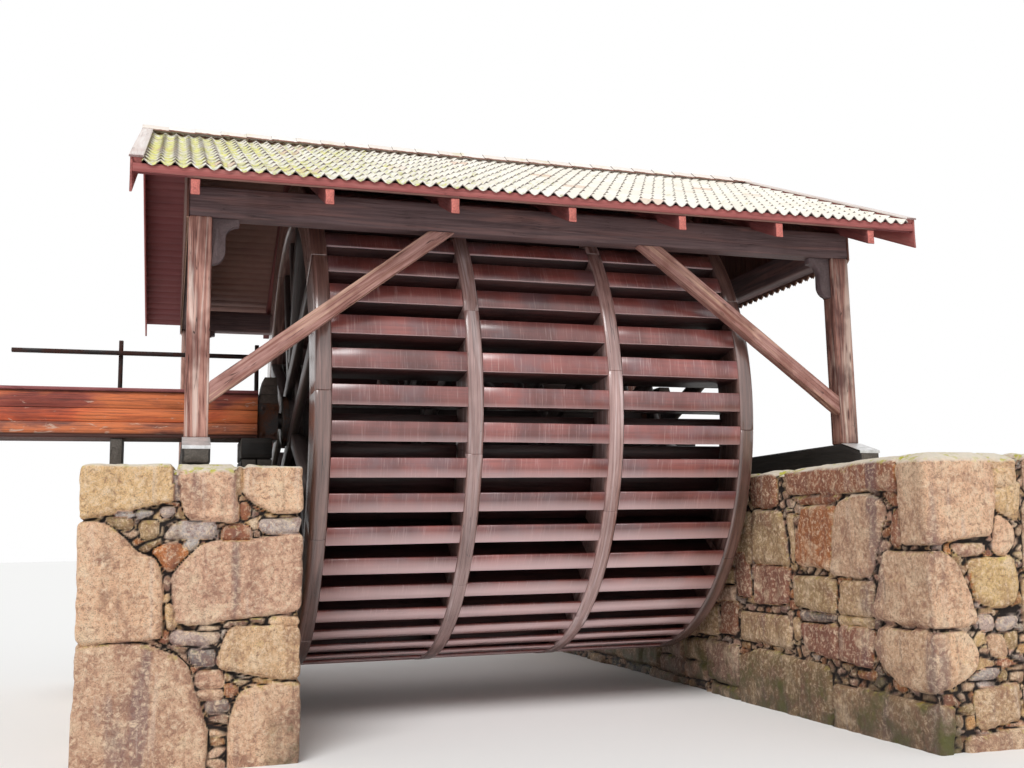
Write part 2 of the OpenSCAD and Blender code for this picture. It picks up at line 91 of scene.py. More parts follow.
def add_camera():
    """The view direction is the +Y axis turned right by the turn and up by the rise. The picture's
    right and up directions are square to it, and the roll turns those two about it."""
    turn, rise, roll = CAMERA_TURN, CAMERA_RISE, CAMERA_ROLL
    ahead = Vector((np.sin(turn) * np.cos(rise), np.cos(turn) * np.cos(rise), np.sin(rise)))
    level = Vector((np.cos(turn), -np.sin(turn), 0.0))
    above = level.cross(ahead)
    right = np.cos(roll) * level + np.sin(roll) * above
    up = np.cos(roll) * above - np.sin(roll) * level
    data = bpy.data.cameras.new("camera")
    data.lens, data.sensor_width, data.clip_end = CAMERA_LENS, FILM_WIDTH, FAR_CLIP
    camera = put("camera", data)
    axes = Matrix((right, up, -ahead)).transposed().to_4x4()
    camera.matrix_world = Matrix.Translation(CAMERA_PLACE) @ axes
    bpy.context.scene.camera = camera


add_camera()
print("camera:", CAMERA_LENS, "mm lens at", CAMERA_PLACE)

# %% [markdown]
# ## Finishes from nodes
# Every finish is procedural, so the same part can be shown large or small. A
# short helper adds a node and joins its inputs in one call, since the usual
# way takes four lines a node and hides what the finish does. A finish keeps
# its colour so far, and the next colour is laid over it like a glaze. Colours
# are written as they look on a screen and turned into linear light once.

# %% Helpers for materials
def screen(red, green, blue):
    """A linear colour from screen values: below 0.04045 a straight line, above it a power of 2.4."""
    values = np.array([red, green, blue])
    linear = np.where(values <= 0.04045, values / 12.92, ((values + 0.055) / 1.055) ** 2.4)
    return (*linear.tolist(), 1.0)


class Finish:
    """A material, or the world's light, being put together: a call adds nodes and gives back the
    last one's output. A colour of three numbers is as on a screen, one of four is linear."""

    def __init__(self, name, kind=bpy.data.materials):
        self.data = kind.new(name)
        self.data.use_nodes = True
        self.tree = self.data.node_tree
        ends = self.tree.nodes
        self.shader = ends.get("Principled BSDF") or ends["Background"]
        self.colour = None

    def add(self, kind, inputs, output=0, **settings):
        node = self.tree.nodes.new("ShaderNode" + kind)
        for key, value in settings.items():
            setattr(node, key, value)
        for key, value in inputs.items():
            self.join(value, node.inputs[key])
        return node.outputs[output]

    def join(self, value, socket):
        if isinstance(value, bpy.types.NodeSocket):
            self.tree.links.new(value, socket)
        else:
            socket.default_value = value

    def place(self):
        """The point on the piece, in metres of the frame."""
        return self.add("TexCoord", {}, "Object")

    def grain(self):
        """The metres along and round the piece."""
        return self.add("UVMap", {}, uv_map="grain")

    def axis(self, vector, number):
        return self.add("SeparateXYZ", {0: vector}, number)

    def upward(self):
        """The Z of the surface's direction, from -1 to 1."""
        return self.axis(self.add("NewGeometry", {}, "Normal"), 2)

    def part(self, name, index):
        """One number of a colour attribute: 0, 1 or 2."""
        colour = self.add("Attribute", {}, "Color", attribute_name=name)
        return self.add("SeparateColor", {"Color": colour}, index)

    def seen(self):
        """1 for the camera's own rays and those seen in gloss or through glass, else 0."""
        path = self.add("LightPath", {}).node.outputs
        gloss = self.maths("MAXIMUM", path["Is Camera Ray"], path["Is Glossy Ray"])
        return self.maths("MAXIMUM", gloss, path["Is Transmission Ray"])

    def stretched(self, vector, scale, shift=0.0):
        """A vector times a scale for each axis, plus the shift along the third."""
        return self.add("Mapping", {"Vector": vector, "Scale": scale, "Location": (0, 0, shift)})

    def noise(self, vector, scale, detail, roughness=0.55, distortion=0.0, shift=0.0):
        """Noise at one scale, or at a scale for each axis."""
        if isinstance(scale, tuple):
            vector, scale = self.stretched(vector, scale, shift), 1.0
        inputs = {"Vector": vector, "Scale": scale, "Detail": detail}
        inputs.update({"Roughness": roughness, "Distortion": distortion})
        return self.add("TexNoise", inputs, "Fac")

    def fit(self, value, low, high, to_low=0.0, to_high=1.0):
        """Value carried from one range to another, and kept inside it."""
        inputs = {"Value": value, "From Min": low, "From Max": high}
        inputs.update({"To Min": to_low, "To Max": to_high})
        return self.add("MapRange", inputs)

    def maths(self, word, a, b=0.0):
        return self.add("Math", {0: a, 1: b}, operation=word)

    def plus(self, a, b):
        return self.maths("ADD", a, b)

    def times(self, a, b):
        return self.maths("MULTIPLY", a, b)

    def blend(self, share, a, b, way="MIX"):
        """Colour a turned into b by a share, or joined with it in another way."""
        a, b = (screen(*c) if isinstance(c, tuple) and len(c) == 3 else c for c in (a, b))
        return self.add("Mix", {0: share, 6: a, 7: b}, 2, data_type="RGBA", blend_type=way)

    def over(self, share, colour, way="MIX"):
        """Lays a colour over the one so far."""
        self.colour = self.blend(share, self.colour, colour, way)

    def lay(self, value, low, high, share, colour):
        """Lays a colour on from nothing where the value is low to the share where it is high."""
        self.over(self.fit(value, low, high, 0.0, share), colour)

    def grey(self, value):
        """A number as a colour, to multiply with."""
        return self.add("CombineColor", {0: value, 1: value, 2: value})

    def done(self, roughness, height, depth, **constants):
        """Joins the colour, roughness and bump. The bump's height is in metres times the depth."""
        sockets = self.shader.inputs
        normal = self.add("Bump", {"Height": height, "Distance": depth, "Strength": 1.0})
        self.join(self.colour, sockets["Base Color"])
        self.join(roughness, sockets["Roughness"])
        self.join(normal, sockets["Normal"])
        for key, value in constants.items():
            sockets[key.replace("_", " ")].default_value = value
        print(f"{self.data.name}: {len(self.tree.nodes)} nodes")
        return self.data


print("white on a screen is", screen(1.0, 1.0, 1.0)[:3], "in linear light")

# %% [markdown]
# ## Light and floor
# Plain, soft light comes from all sides, and one wide lamp at the front left
# gives the stones and boards some shape. What stands under the roof gets its
# light from low down, so the world is a little stronger at the horizon than
# overhead. To the camera and in reflections it is plain white. The floor is
# pale, and throws back a little more light than it shows.

# %% Set up the light and the floor
SKY_LOW = 0.66
SKY_HIGH = 0.50
SUN_STRENGTH = 1.95
SUN_SPREAD = 0.5
SUN_FROM = (-0.32, -0.61, 0.84)
WHITE = (1.0, 1.0, 1.0, 1.0)
FLOOR_SHOWN = (0.87, 0.87, 0.86, 1.0)
FLOOR_BOUNCE = (0.92, 0.92, 0.95, 1.0)
FLOOR_DULL = 0.9
FLOOR_REACH = 150.0


def add_sky():
    """The light goes from SKY_LOW at the horizon to SKY_HIGH overhead, in proportion to the Z of
    the direction, and the background's strength goes from that to 1 where it is seen directly."""
    f = Finish("sky", bpy.data.worlds)
    light = f.fit(f.axis(f.add("TexCoord", {}, "Generated"), 2), 0.0, 1.0, SKY_LOW, SKY_HIGH)
    f.join(WHITE, f.shader.inputs["Color"])
    f.join(f.fit(f.seen(), 0.0, 1.0, light, 1.0), f.shader.inputs["Strength"])
    bpy.context.scene.world = f.data


def add_sun():
    """A wide sun, turned so that its -Z axis runs from SUN_FROM to the origin."""
    data = bpy.data.lights.new("sun", "SUN")
    data.energy, data.angle = SUN_STRENGTH, SUN_SPREAD
    put("sun", data).rotation_euler = Vector(SUN_FROM).to_track_quat("Z", "Y").to_euler()


def add_floor():
    """One square on z = 0, of one colour to the camera and another for the light it throws back."""
    corners = FLOOR_REACH * np.array([(-1, -1, 0), (1, -1, 0), (1, 1, 0), (-1, 1, 0)], float)
    mesh = bpy.data.meshes.new("floor")
    mesh.from_pydata(corners, [], [(0, 1, 2, 3)])
    f = Finish("floor")
    f.join(f.blend(f.seen(), FLOOR_BOUNCE, FLOOR_SHOWN), f.shader.inputs["Base Color"])
    f.join(FLOOR_DULL, f.shader.inputs["Roughness"])
    mesh.materials.append(f.data)
    floor = put("floor", mesh)
    floor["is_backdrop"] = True


add_sky()
add_sun()
add_floor()
bpy.context.scene.view_settings.view_transform = "Standard"
print("light: world", SKY_LOW, "to", SKY_HIGH, "and sun", SUN_STRENGTH)

# %% [markdown]
# ## Noise
# Hewn wood and split granite are uneven at several sizes at once. Blender's own
# texture nodes can colour that, but the shape has to be in the mesh. So a small
# value noise is written here: it turns whole arrays of points into numbers, and
# the same seed always gives the same surface.

# %% Value noise in numpy
def lattice(cells, seed):
    """A number from 0 to 1 for each whole-number cell: the cell's three coordinates are multiplied
    by large odd numbers and mixed with the seed by shifts and exclusive-or."""
    mixed = (cells[..., 0] * 73856093) ^ (cells[..., 1] * 19349663) ^ (cells[..., 2] * 83492791)
    mixed = (mixed ^ (seed * 2654435761)) & 0xFFFFFFFF
    mixed = ((mixed ^ (mixed >> 15)) * 1274126177) & 0xFFFFFFFF
    mixed = ((mixed ^ (mixed >> 13)) * 1103515245) & 0xFFFFFFFF
    return ((mixed ^ (mixed >> 16)) & 0xFFFFFF) / 0xFFFFFF


def noise(points, cell, seed):
    """Value noise from 0 to 1: each point's cell has random numbers at its eight corners, which
    are blended along each axis by 3 t^2 - 2 t^3. The cell is one size or one for each axis."""
    grid = np.asarray(points, float) / cell
    base = np.floor(grid).astype(np.int64)
    part = grid - base
    part = part * part * (3.0 - 2.0 * part)
    total = np.zeros(grid.shape[:-1])
    for corner in np.ndindex(2, 2, 2):
        weight = np.prod(np.where(corner, part, 1.0 - part), axis=-1)
        total += weight * lattice(base + corner, seed)
    return total


def rough(points, cell, seed, layers=3):
    """Layers of value noise about 0, each half as wide and half as strong as the one before."""
    total = np.zeros(np.shape(points)[:-1])
    for layer in range(layers):
        total += (noise(points, cell / 2.0**layer, seed + layer) - 0.5) / 2.0**layer
    return total


print("noise near the origin:", round(float(noise(np.full((1, 3), 0.3), 1.0, 1)[0]), 4))

# %% [markdown]
# ## Skins: grids of points made into closed meshes
# Nearly every piece here is a bar, a board, a ring or a block, so one function
# makes them all: rings of points, one behind the other, with faces between
# neighbouring rings. Each end closes onto one point, the heart, or the last
# ring joins the first. A primitive with modifiers would do as well, but this
# way many boards share one mesh and each has its own length of grain: the map
# "grain" holds metres along and round the piece, and the attribute "look" holds
# two random numbers for each board and a 1 on its ends.

# %% Build closed meshes from rings
SHARP_ANGLE = 48.0
GRAIN_SHIFT = 40


def skin(name, rings, closed=False, hearts=None, values=None, seed=0):
    """A mesh of closed skins from rings (m, n, k, 3): m skins, n rings each, k points in a ring.
    Ends are fans of triangles onto the hearts (m, 2, 3), which are the end rings' middles unless
    they are given. values (m, n, k, 4) becomes the attribute "mark". Where a skin's volume, a sixth
    of the sum of its triangles' triple products, is negative, its rings are turned round."""
    rings = np.array(rings, float)
    m, n, k = rings.shape[:3]
    hearts = rings[:, [0, -1]].mean(axis=2) if hearts is None else hearts
    ring, spot = np.meshgrid(np.arange(n if closed else n - 1), np.arange(k), indexing="ij")
    quads = np.stack([ring, spot], -1).reshape(-1, 1, 2) + [(0, 0), (0, 1), (1, 1), (1, 0)]
    quad_corners = (quads[..., 0] % n) * k + quads[..., 1] % k
    turn = np.arange(k)
    after, last = (turn + 1) % k, (n - 1) * k
    fans = np.concatenate([np.stack([np.full(k, n * k), after, turn], -1),
                           np.stack([np.full(k, n * k + 1), last + turn, last + after], -1)])
    fan_corners, extra = (fans[:0], 0) if closed else (fans, 2)
    points = np.concatenate([rings.reshape(m, n * k, 3), hearts[:, :extra]], axis=1)
    corners = np.concatenate([quad_corners[:, [0, 1, 2]], quad_corners[:, [0, 2, 3]], fan_corners])
    a, b, c = (points[:, corners[:, i]] for i in range(3))
    wrong = (a * np.cross(b, c)).sum(axis=(1, 2)) < 0
    rings[wrong] = rings[wrong][:, :, ::-1]
    points[:, :n * k] = rings.reshape(m, n * k, 3)
    start = np.arange(m)[:, None] * points.shape[1]
    loops = np.concatenate([quad_corners.ravel(), fan_corners.ravel()]) + start
    sizes = np.concatenate([np.full(len(quad_corners), 4), np.full(len(fan_corners), 3)])
    mesh = bpy.data.meshes.new(name)
    mesh.vertices.add(points.shape[0] * points.shape[1])
    mesh.vertices.foreach_set("co", points.astype(np.float32).ravel())
    mesh.loops.add(loops.size)
    mesh.loops.foreach_set("vertex_index", loops.astype(np.int32).ravel())
    mesh.polygons.add(m * len(sizes))
    starts = np.concatenate([[0], np.cumsum(np.tile(sizes, m))[:-1]])
    mesh.polygons.foreach_set("loop_start", starts.astype(np.int32))
    map_grain(mesh, rings, quads, fan_corners.ravel(), seed)
    if values is not None:
        values = np.where(wrong[:, None, None, None], values[:, :, ::-1], values)
        mean = values[:, [0, -1]].mean(axis=2)[:, :extra]
        add_colours(mesh, "mark", "POINT", np.concatenate([values.reshape(m, n * k, 4), mean], axis=1))
    mesh.update(calc_edges=True)
    mesh.shade_smooth()
    mesh.set_sharp_from_angle(angle=np.radians(SHARP_ANGLE))
    return mesh


def add_colours(mesh, name, domain, values):
    """A colour attribute for each point or each corner of a face."""
    layer = mesh.attributes.new(name, "FLOAT_COLOR", domain)
    layer.data.foreach_set("color", values.astype(np.float32).ravel())


def running(steps):
    """From rows of steps, the length run so far, with a 0 at the start of each row."""
    return np.concatenate([np.zeros((len(steps), 1)), np.cumsum(steps, axis=1)], axis=1)


def map_grain(mesh, rings, quads, fans, seed):
    """U is the length run from ring to ring, by the mean step, and V the length run round the
    middle ring. Each skin starts at a random place of both. On the ends U and V are set from the
    ring's own places, and the third number of look is 1."""
    m, n, k = rings.shape[:3]
    draw = np.random.default_rng(seed)
    shift = draw.uniform(0, GRAIN_SHIFT, (m, 2))
    tones = draw.uniform(0, 1, (m, 2))
    rows = np.concatenate([rings, rings[:, :1]], axis=1)
    along = running(np.linalg.norm(np.diff(rows, axis=1), axis=3).mean(axis=2))
    loop = np.concatenate([rings[:, n // 2], rings[:, n // 2, :1]], axis=1)
    about = running(np.linalg.norm(np.diff(loop, axis=1), axis=2))
    far = (fans >= k) & (fans != n * k)
    u = np.concatenate([along[:, quads[..., 0]].reshape(m, -1), along[:, (n - 1) * far]], axis=1)
    v = np.concatenate([about[:, quads[..., 1]].reshape(m, -1), about[:, (fans % (n * k)) % k]], axis=1)
    look = np.zeros((*u.shape, 4))
    look[..., :2] = tones[:, None]
    look[:, quads[..., 0].size:, 2] = 1.0
    look[..., 3] = 1.0
    uv = np.stack([u + shift[:, :1], v + shift[:, 1:]], -1)
    mesh.uv_layers.new(name="grain").data.foreach_set("uv", uv.astype(np.float32).ravel())
    add_colours(mesh, "look", "CORNER", look)


def box(node):
    """The lowest and highest corner of a CAD node, as arrays."""
    low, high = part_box(node)
    return np.array(low), np.array(high)


def piece(name, rings, slot, finish, *stands_for, body="house", **options):
    """Puts the skin of rings into the scene as one piece: it rides on a body, takes a finish and
    stands for the named nodes. The slot is not used."""
    mesh = skin(name, rings, **options)
    obj = put(name, mesh)
    mesh.materials.append(finish)
    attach(obj, body)
    if stands_for:
        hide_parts(*stands_for)
    print(f"{name}: {len(mesh.loops) - 2 * len(mesh.polygons)} triangles")


def dress(node, ending, rings, slot, finish, **options):
    """A piece that stands for one node and is named after it."""
    piece(f"{node}_{ending}", rings, slot, finish, node, **options)


print("skins: edges sharper than", SHARP_ANGLE, "degrees stay crisp")

# %% [markdown]
# ## Timbers
# A sawn timber is an outline carried along a line. Real ones never have knife
# edges: the corners are worn or planed off, and the axe or saw leaves the faces
# a little uneven. Both are made here as shape, since light along an edge is
# what makes wood look solid. A bevel modifier could round the corners too, but
# then the rings for the uneven faces would have to come after it.

# %% Carry outlines along timbers
def cut_corners(outlines, cut, between=0):
    """Each corner of the outlines (..., c, 3) becomes two points, moved by `cut` along the two
    sides that meet there, and each side gets evenly spaced points between."""
    back = np.roll(outlines, 1, axis=-2) - outlines
    on = np.roll(outlines, -1, axis=-2) - outlines
    before = outlines + cut * back / np.linalg.norm(back, axis=-1, keepdims=True)
    after = outlines + cut * on / np.linalg.norm(on, axis=-1, keepdims=True)
    stop = np.roll(before, -1, axis=-2)
    share = np.linspace(0.0, 1.0, between + 2)[:, None]
    points = after[..., :, None, :] + share * (stop - after)[..., :, None, :]
    return points.reshape(*outlines.shape[:-2], -1, 3)


def draw_in(ring, by, heart=None):
    """Moves each point of a ring by a length towards a heart, or towards the ring's middle."""
    inward = (ring.mean(axis=-2, keepdims=True) if heart is None else heart) - ring
    return ring + by * inward / np.linalg.norm(inward, axis=-1, keepdims=True)


def timbers(sections, cut, step, between=0):
    """Rings (m, n, k, 3) of m timbers from outlines (m, s, c, 3): straight from each outline to
    the next in steps of about `step`, with corners cut off. At each end one more ring is drawn in
    by the same cut, so that the end's edges are worn too."""
    outlines = cut_corners(np.asarray(sections, float), cut, between)
    lengths = np.linalg.norm(np.diff(outlines.mean(axis=2), axis=1), axis=-1).mean(axis=0)
    shares = [0.0]
    for i, length in enumerate(lengths):
        shares.extend(i + np.linspace(0, 1, max(2, int(round(length / step)) + 1))[1:])
    shares = np.array(shares)
    shares[0], shares[-1] = cut / lengths[0], len(lengths) - cut / lengths[-1]
    base = np.minimum(shares.astype(int), len(lengths) - 1)
    part = (shares - base)[:, None, None]
    rings = outlines[:, base] * (1 - part) + outlines[:, base + 1] * part
    ends = [draw_in(outlines[:, :1], cut), draw_in(outlines[:, -1:], cut)]
    return np.concatenate([ends[0], rings, ends[1]], axis=1)


def hewn(rings, depth, cell, seed):
    """Presses each point towards its ring's middle by value noise times a depth."""
    return draw_in(rings, (depth * noise(rings, cell, seed))[..., None])


def bars(low, high, axis):
    """Outlines (m, 2, 4, 3) of straight bars along an axis, from arrays of low and high corners."""
    low, high = np.broadcast_arrays(*(np.atleast_2d(corner).astype(float) for corner in (low, high)))
    a, b = (i for i in range(3) if i != axis)
    outlines = np.zeros((len(low), 2, 4, 3))
    outlines[:, 0, :, axis], outlines[:, 1, :, axis] = low[:, None, axis], high[:, None, axis]
    outlines[..., a] = np.stack([low[:, a], high[:, a], high[:, a], low[:, a]], -1)[:, None]
    outlines[..., b] = np.stack([low[:, b], low[:, b], high[:, b], high[:, b]], -1)[:, None]
    return outlines


print("a bar's outlines:", bars((0, 0, 0), (1, 2, 3), 2).shape)

# %% [markdown]
# ## Wood
# All the timber has the same structure under different paint and weather:
# fibres along the length, wider bands of early and late wood, drying cracks,
# some knots, and patches where damp has darkened it. Each board starts at its
# own place of the pattern, so no two look alike. One function makes them all,
# from four colours and a few amounts.

# %% The wood finish
FIBRES = (1.1, 34.0, 1.0)
BANDS = (0.55, 9.0, 1.0)
CRACKS = (0.7, 15.0, 1.0)
KNOTS = (1.3, 6.5, 1.0)
WOOD_RELIEF = 0.004


def wood(name, body, dark, pale, end, fibre=0.5, patches=0.3, cracks=0.5, knots=0.0, dull=0.7,
         varied=0.25, patch_size=1.4, inside=None, **shine):
    """The body colour goes to dark and pale by the fibres' noise, then to patches of dark by a
    wide noise in the frame, then darkens in cracks and knots. A board's own number makes it up to
    `varied` darker, and its ends take the end colour with rings of noise. The colour inside, where
    it is given, takes the body's place between the posts, so where |X| is under 4 m."""
    f = Finish(name)
    grain, place = f.grain(), f.place()
    f.colour = body
    if inside is not None:
        f.lay(f.maths("ABSOLUTE", f.axis(place, 0)), 4.04, 3.96, 1.0, inside)
    fibres = f.noise(grain, FIBRES, 8.0, 0.68, 0.6)
    bands = f.noise(grain, BANDS, 3.0, 0.5, 1.2, shift=7.0)
    wide = f.noise(f.stretched(place, (1.0, 1.0, 0.6)), patch_size, 3.0, 0.6)
    f.lay(fibres, 0.62, 0.36, fibre, dark)
    f.lay(bands, 0.5, 0.72, fibre, pale)
    f.lay(wide, 0.48, 0.66, patches, dark)
    split = f.noise(grain, CRACKS, 2.0, 0.5, 0.3, shift=3.0)
    split = f.maths("ABSOLUTE", f.maths("SUBTRACT", split, 0.5))
    split = f.times(f.fit(split, 0.007, 0.001), f.fit(wide, 0.45, 0.55))
    f.over(f.times(split, cracks), (0.09, 0.06, 0.05))
    if knots > 0.0:
        spot = f.add("TexVoronoi", {"Vector": f.stretched(grain, KNOTS), "Scale": 1.0}, "Distance")
        f.lay(spot, 0.13, 0.07, knots, dark)
    f.over(1.0, f.grey(f.fit(f.part("look", 0), 0.0, 1.0, 1.0 - varied, 1.0)), "MULTIPLY")
    rings = f.grey(f.fit(f.noise(place, 26.0, 4.0, 0.6, 2.0), 0.35, 0.65, 0.65, 1.05))
    f.over(f.part("look", 2), f.blend(1.0, end, rings, "MULTIPLY"))
    height = f.maths("SUBTRACT", f.fit(fibres, 0.34, 0.62), f.times(split, 3.0 * cracks))
    gloss = f.fit(fibres, 0.3, 0.7, dull - 0.12, dull + 0.1)
    return f.done(gloss, height, WOOD_RELIEF, **shine)


POST_WEAR = {"fibre": 1.0, "cracks": 0.9, "knots": 0.9, "varied": 0.1, "patch_size": 3.2}
# The left posts' brighter copy of the bare wood is painted light, and the right posts' darker copy is painted
# shade.
lit_bare_post = wood("lit_bare_post", (0.90, 0.68, 0.61), (0.44, 0.24, 0.20), (1.00, 0.94, 0.89),
                 (0.56, 0.46, 0.40), patches=0.75, **POST_WEAR)
right_post = wood("right_post", (0.70, 0.50, 0.44), (0.32, 0.17, 0.15), (0.88, 0.78, 0.72),
                  (0.56, 0.46, 0.40), patches=0.8, **POST_WEAR)
brace_wood = wood("brace_wood", (0.78, 0.60, 0.56), (0.50, 0.28, 0.22), (0.96, 0.80, 0.68),
                  (0.56, 0.44, 0.38), 0.9, 0.5, 0.7, 0.6, varied=0.1, patch_size=2.6)
plate_wood = wood("plate_wood", (0.46, 0.37, 0.37), (0.28, 0.20, 0.20), (0.60, 0.43, 0.40),
                  (0.44, 0.35, 0.31), 0.7, 0.4)
sill_wood = wood("sill_wood", (0.17, 0.15, 0.14), (0.08, 0.07, 0.07), (0.27, 0.24, 0.22),
                 (0.40, 0.37, 0.34), 0.7)

# %% [markdown]
# ## The posts
# Four square posts carry the roof. They are pit-sawn softwood, once painted
# red, now bare and pinkish, with knots and long drying cracks. Each is an
# outline carried upwards, with planed-off corners and slightly uneven faces.

# %% Make the posts
POST_CUT = 0.014
HEWN_DEPTH = 0.005
POSTS = ("front_left_post", "front_right_post", "rear_left_post", "rear_right_post")

for number, node in enumerate(POSTS):
    rings = timbers(bars(*box(node), 2), POST_CUT, 0.11, 3)
    rings = hewn(rings, HEWN_DEPTH, (0.12, 0.12, 0.7), number)
    # Left posts take the copy with painted light, right posts the copy with painted shade.
    finish = lit_bare_post if "left" in node else right_post
    dress(node, "timber", rings, "frame_wood", finish, seed=number)

# %% [markdown]
# ## Plates and tie beams
# The plates lie on the posts along the eaves and carry the rafters, and the tie
# beams join them across the gables. They are darker than the posts, because the
# roof keeps the sun off. They are bars again, along X and along Y.

# %% Make the plates and tie beams
BEAM_CUT = 0.016
BEAMS = {"front_wall_plate": 0, "rear_wall_plate": 0, "left_tie_beam": 1, "right_tie_beam": 1}
BEAM_CELLS = ((0.8, 0.14, 0.14), (0.14, 0.8, 0.14))

for number, (node, axis) in enumerate(BEAMS.items(), 10):
    rings = timbers(bars(*box(node), axis), BEAM_CUT, 0.16, 3)
    rings = hewn(rings, HEWN_DEPTH, BEAM_CELLS[axis], number)
    dress(node, "timber", rings, "plate_wood", plate_wood, seed=number)

# %% [markdown]
# ## The braces
# A brace runs from each post up to the plate and keeps the frame from racking.
# Its foot is cut upright against the post and its head level under the plate,
# so its two end outlines are slanted, and the sides run straight between them.

# %% Make the braces
BRACE_ANGLE = np.radians(37.0)
BRACE_WIDTH = 0.185
BRACE_CUT = 0.012


def brace_sections(low, high, side):
    """Outlines of one brace on the left (side -1) or right (side 1). Upright, the brace is its
    width over the cosine of its angle; level, its width over the sine."""
    upright, level = BRACE_WIDTH / np.cos(BRACE_ANGLE), BRACE_WIDTH / np.sin(BRACE_ANGLE)
    foot_top = low[2] + upright
    head = high[0] - (high[2] - foot_top) / np.tan(BRACE_ANGLE)
    foot = [(high[0], foot_top), (high[0], low[2])]
    top = [(head, high[2]), (head - level, high[2])]
    outline = [[(x, low[1], z) for x, z in end] + [(x, high[1], z) for x, z in end[::-1]]
               for end in (foot, top)]
    return np.array(outline) * (side, 1, 1)


for number, node in enumerate(("front_braces", "rear_braces"), 20):
    sections = [brace_sections(*box(node), side) for side in (-1, 1)]
    rings = hewn(timbers(sections, BRACE_CUT, 0.12, 3), HEWN_DEPTH, 0.3, number)
    dress(node, "timber", rings, "frame_wood", brace_wood, seed=number)

# %% [markdown]
# ## The sills
# Two heavy tarred beams lie on the piers under the posts. Their ends run past
# the posts and slope down, so that rain runs off, and bent sheet metal covers
# each slope. A sill has four outlines: one at each end and one at each break.

# %% Make the sills
SILL_DROP = 0.115
SILL_CUT = 0.02
frame_y = -box("front_left_post")[0][1]


def sill_sections(low, high):
    """Four outlines along Y. The two at the ends are lower at the top by the drop."""
    sections = []
    for y in (low[1], -frame_y, frame_y, high[1]):
        top = high[2] - (SILL_DROP if abs(y) > frame_y else 0.0)
        corners = ((low[0], low[2]), (high[0], low[2]), (high[0], top), (low[0], top))
        sections.append([(x, y, z) for x, z in corners])
    return [sections]


for number, node in enumerate(("left_sill", "right_sill"), 30):
    rings = timbers(sill_sections(*box(node)), SILL_CUT, 0.16, 3)
    rings = hewn(rings, 0.006, (0.15, 0.8, 0.15), number)
    dress(node, "timber", rings, "sill_wood", sill_wood, seed=number)

# %% [markdown]
# ## Wet wood of the wheel
# The front boards are painted the same dull red as the roof's trim, and the
# paint has faded in stretches along their length. Pale upright streaks on them
# stand partly for running water and partly for a painted wet sheen, and the
# boards that face downwards get a pale painted reflection of the bright water
# below. The rings and arms are bare wood gone grey-brown; the middle rings take
# a brighter copy with painted sheen, the outer ones a darker copy with painted
# shade. All of it is wet, and the wet film is the shader's coat, a clear and
# smoother layer on top.

# %% The wheel's finishes
WATER_SHEEN_STREAKS = (58.0, 2.2, 1.0)
STRETCHES = (2.3, 1.1, 1.0)
WET = {"dull": 0.4, "Coat_Weight": 1.0, "Coat_Roughness": 0.24, "Coat_IOR": 1.9}

# Two copies of the wet rim wood: the brighter one is painted sheen for the middle rings, the darker one painted
# shade for the outer rings.
painted_sheen_rim = wood("painted_sheen_rim", (0.80, 0.64, 0.61), (0.46, 0.28, 0.24), (0.95, 0.86, 0.85),
                  (0.36, 0.28, 0.25), 0.8, 0.5, **WET)
shaded_rim_wood = wood("shaded_rim_wood", (0.50, 0.35, 0.31), (0.26, 0.15, 0.13), (0.70, 0.55, 0.51),
                (0.36, 0.28, 0.25), 0.8, 0.5, **WET)
wheel_wood = wood("wheel_wood", (0.27, 0.22, 0.21), (0.13, 0.10, 0.10), (0.38, 0.32, 0.30),
                  (0.32, 0.28, 0.25), 0.6, 0.4, dull=0.5, Coat_Weight=0.3, Coat_Roughness=0.3)
inner_wood = wood("inner_wood", (0.32, 0.16, 0.15), (0.15, 0.08, 0.08), (0.44, 0.26, 0.24),
                  (0.28, 0.20, 0.18), 0.6, 0.5, dull=0.5, varied=0.4, Coat_Weight=0.4, Coat_Roughness=0.3)


def wet_red():
    """Faded red paint: the hue changes in stretches along each board, worn wood shows through in
    fibres, and paler streaks across the board stand for running water and a painted wet sheen.
    Faces that lean downwards, by the Z of their normal, get a pale painted reflection of the
    bright water below."""
    f = Finish("wet_red")
    grain, place = f.grain(), f.place()
    fibres = f.noise(grain, FIBRES, 7.0, 0.66, 0.5)
    stretch = f.noise(grain, STRETCHES, 2.0, 0.5)
    streak = f.noise(grain, WATER_SHEEN_STREAKS, 4.0, 0.65, 0.4)
    f.colour = (0.44, 0.20, 0.18)
    f.lay(stretch, 0.36, 0.64, 1.0, (0.62, 0.33, 0.30))
    f.lay(fibres, 0.52, 0.34, 0.4, (0.30, 0.12, 0.12))
    f.lay(f.noise(place, 2.2, 4.0, 0.6), 0.48, 0.66, 0.6, (0.46, 0.36, 0.38))
    # Pale streaks across the boards: partly running water, partly a painted wet sheen.
    f.lay(streak, 0.56, 0.72, 0.45, (0.88, 0.76, 0.74))
    f.over(1.0, f.grey(f.fit(f.part("look", 0), 0.0, 1.0, 0.66, 1.1)), "MULTIPLY")
    # Faces leaning downwards turn pale: a painted reflection of the bright water below.
    up = f.upward()
    under = f.times(f.fit(up, -0.3, -0.8, 0.0, 0.8), f.fit(up, -0.99, -0.93))
    f.over(under, (0.98, 0.84, 0.83))
    f.over(f.part("look", 2), (0.30, 0.22, 0.20))
    height = f.plus(f.times(fibres, 0.4), f.times(streak, 0.5))
    return f.done(f.fit(streak, 0.4, 0.7, 0.5, 0.26), height, WOOD_RELIEF,
                  Coat_Weight=1.0, Coat_Roughness=0.3, Coat_IOR=1.7)


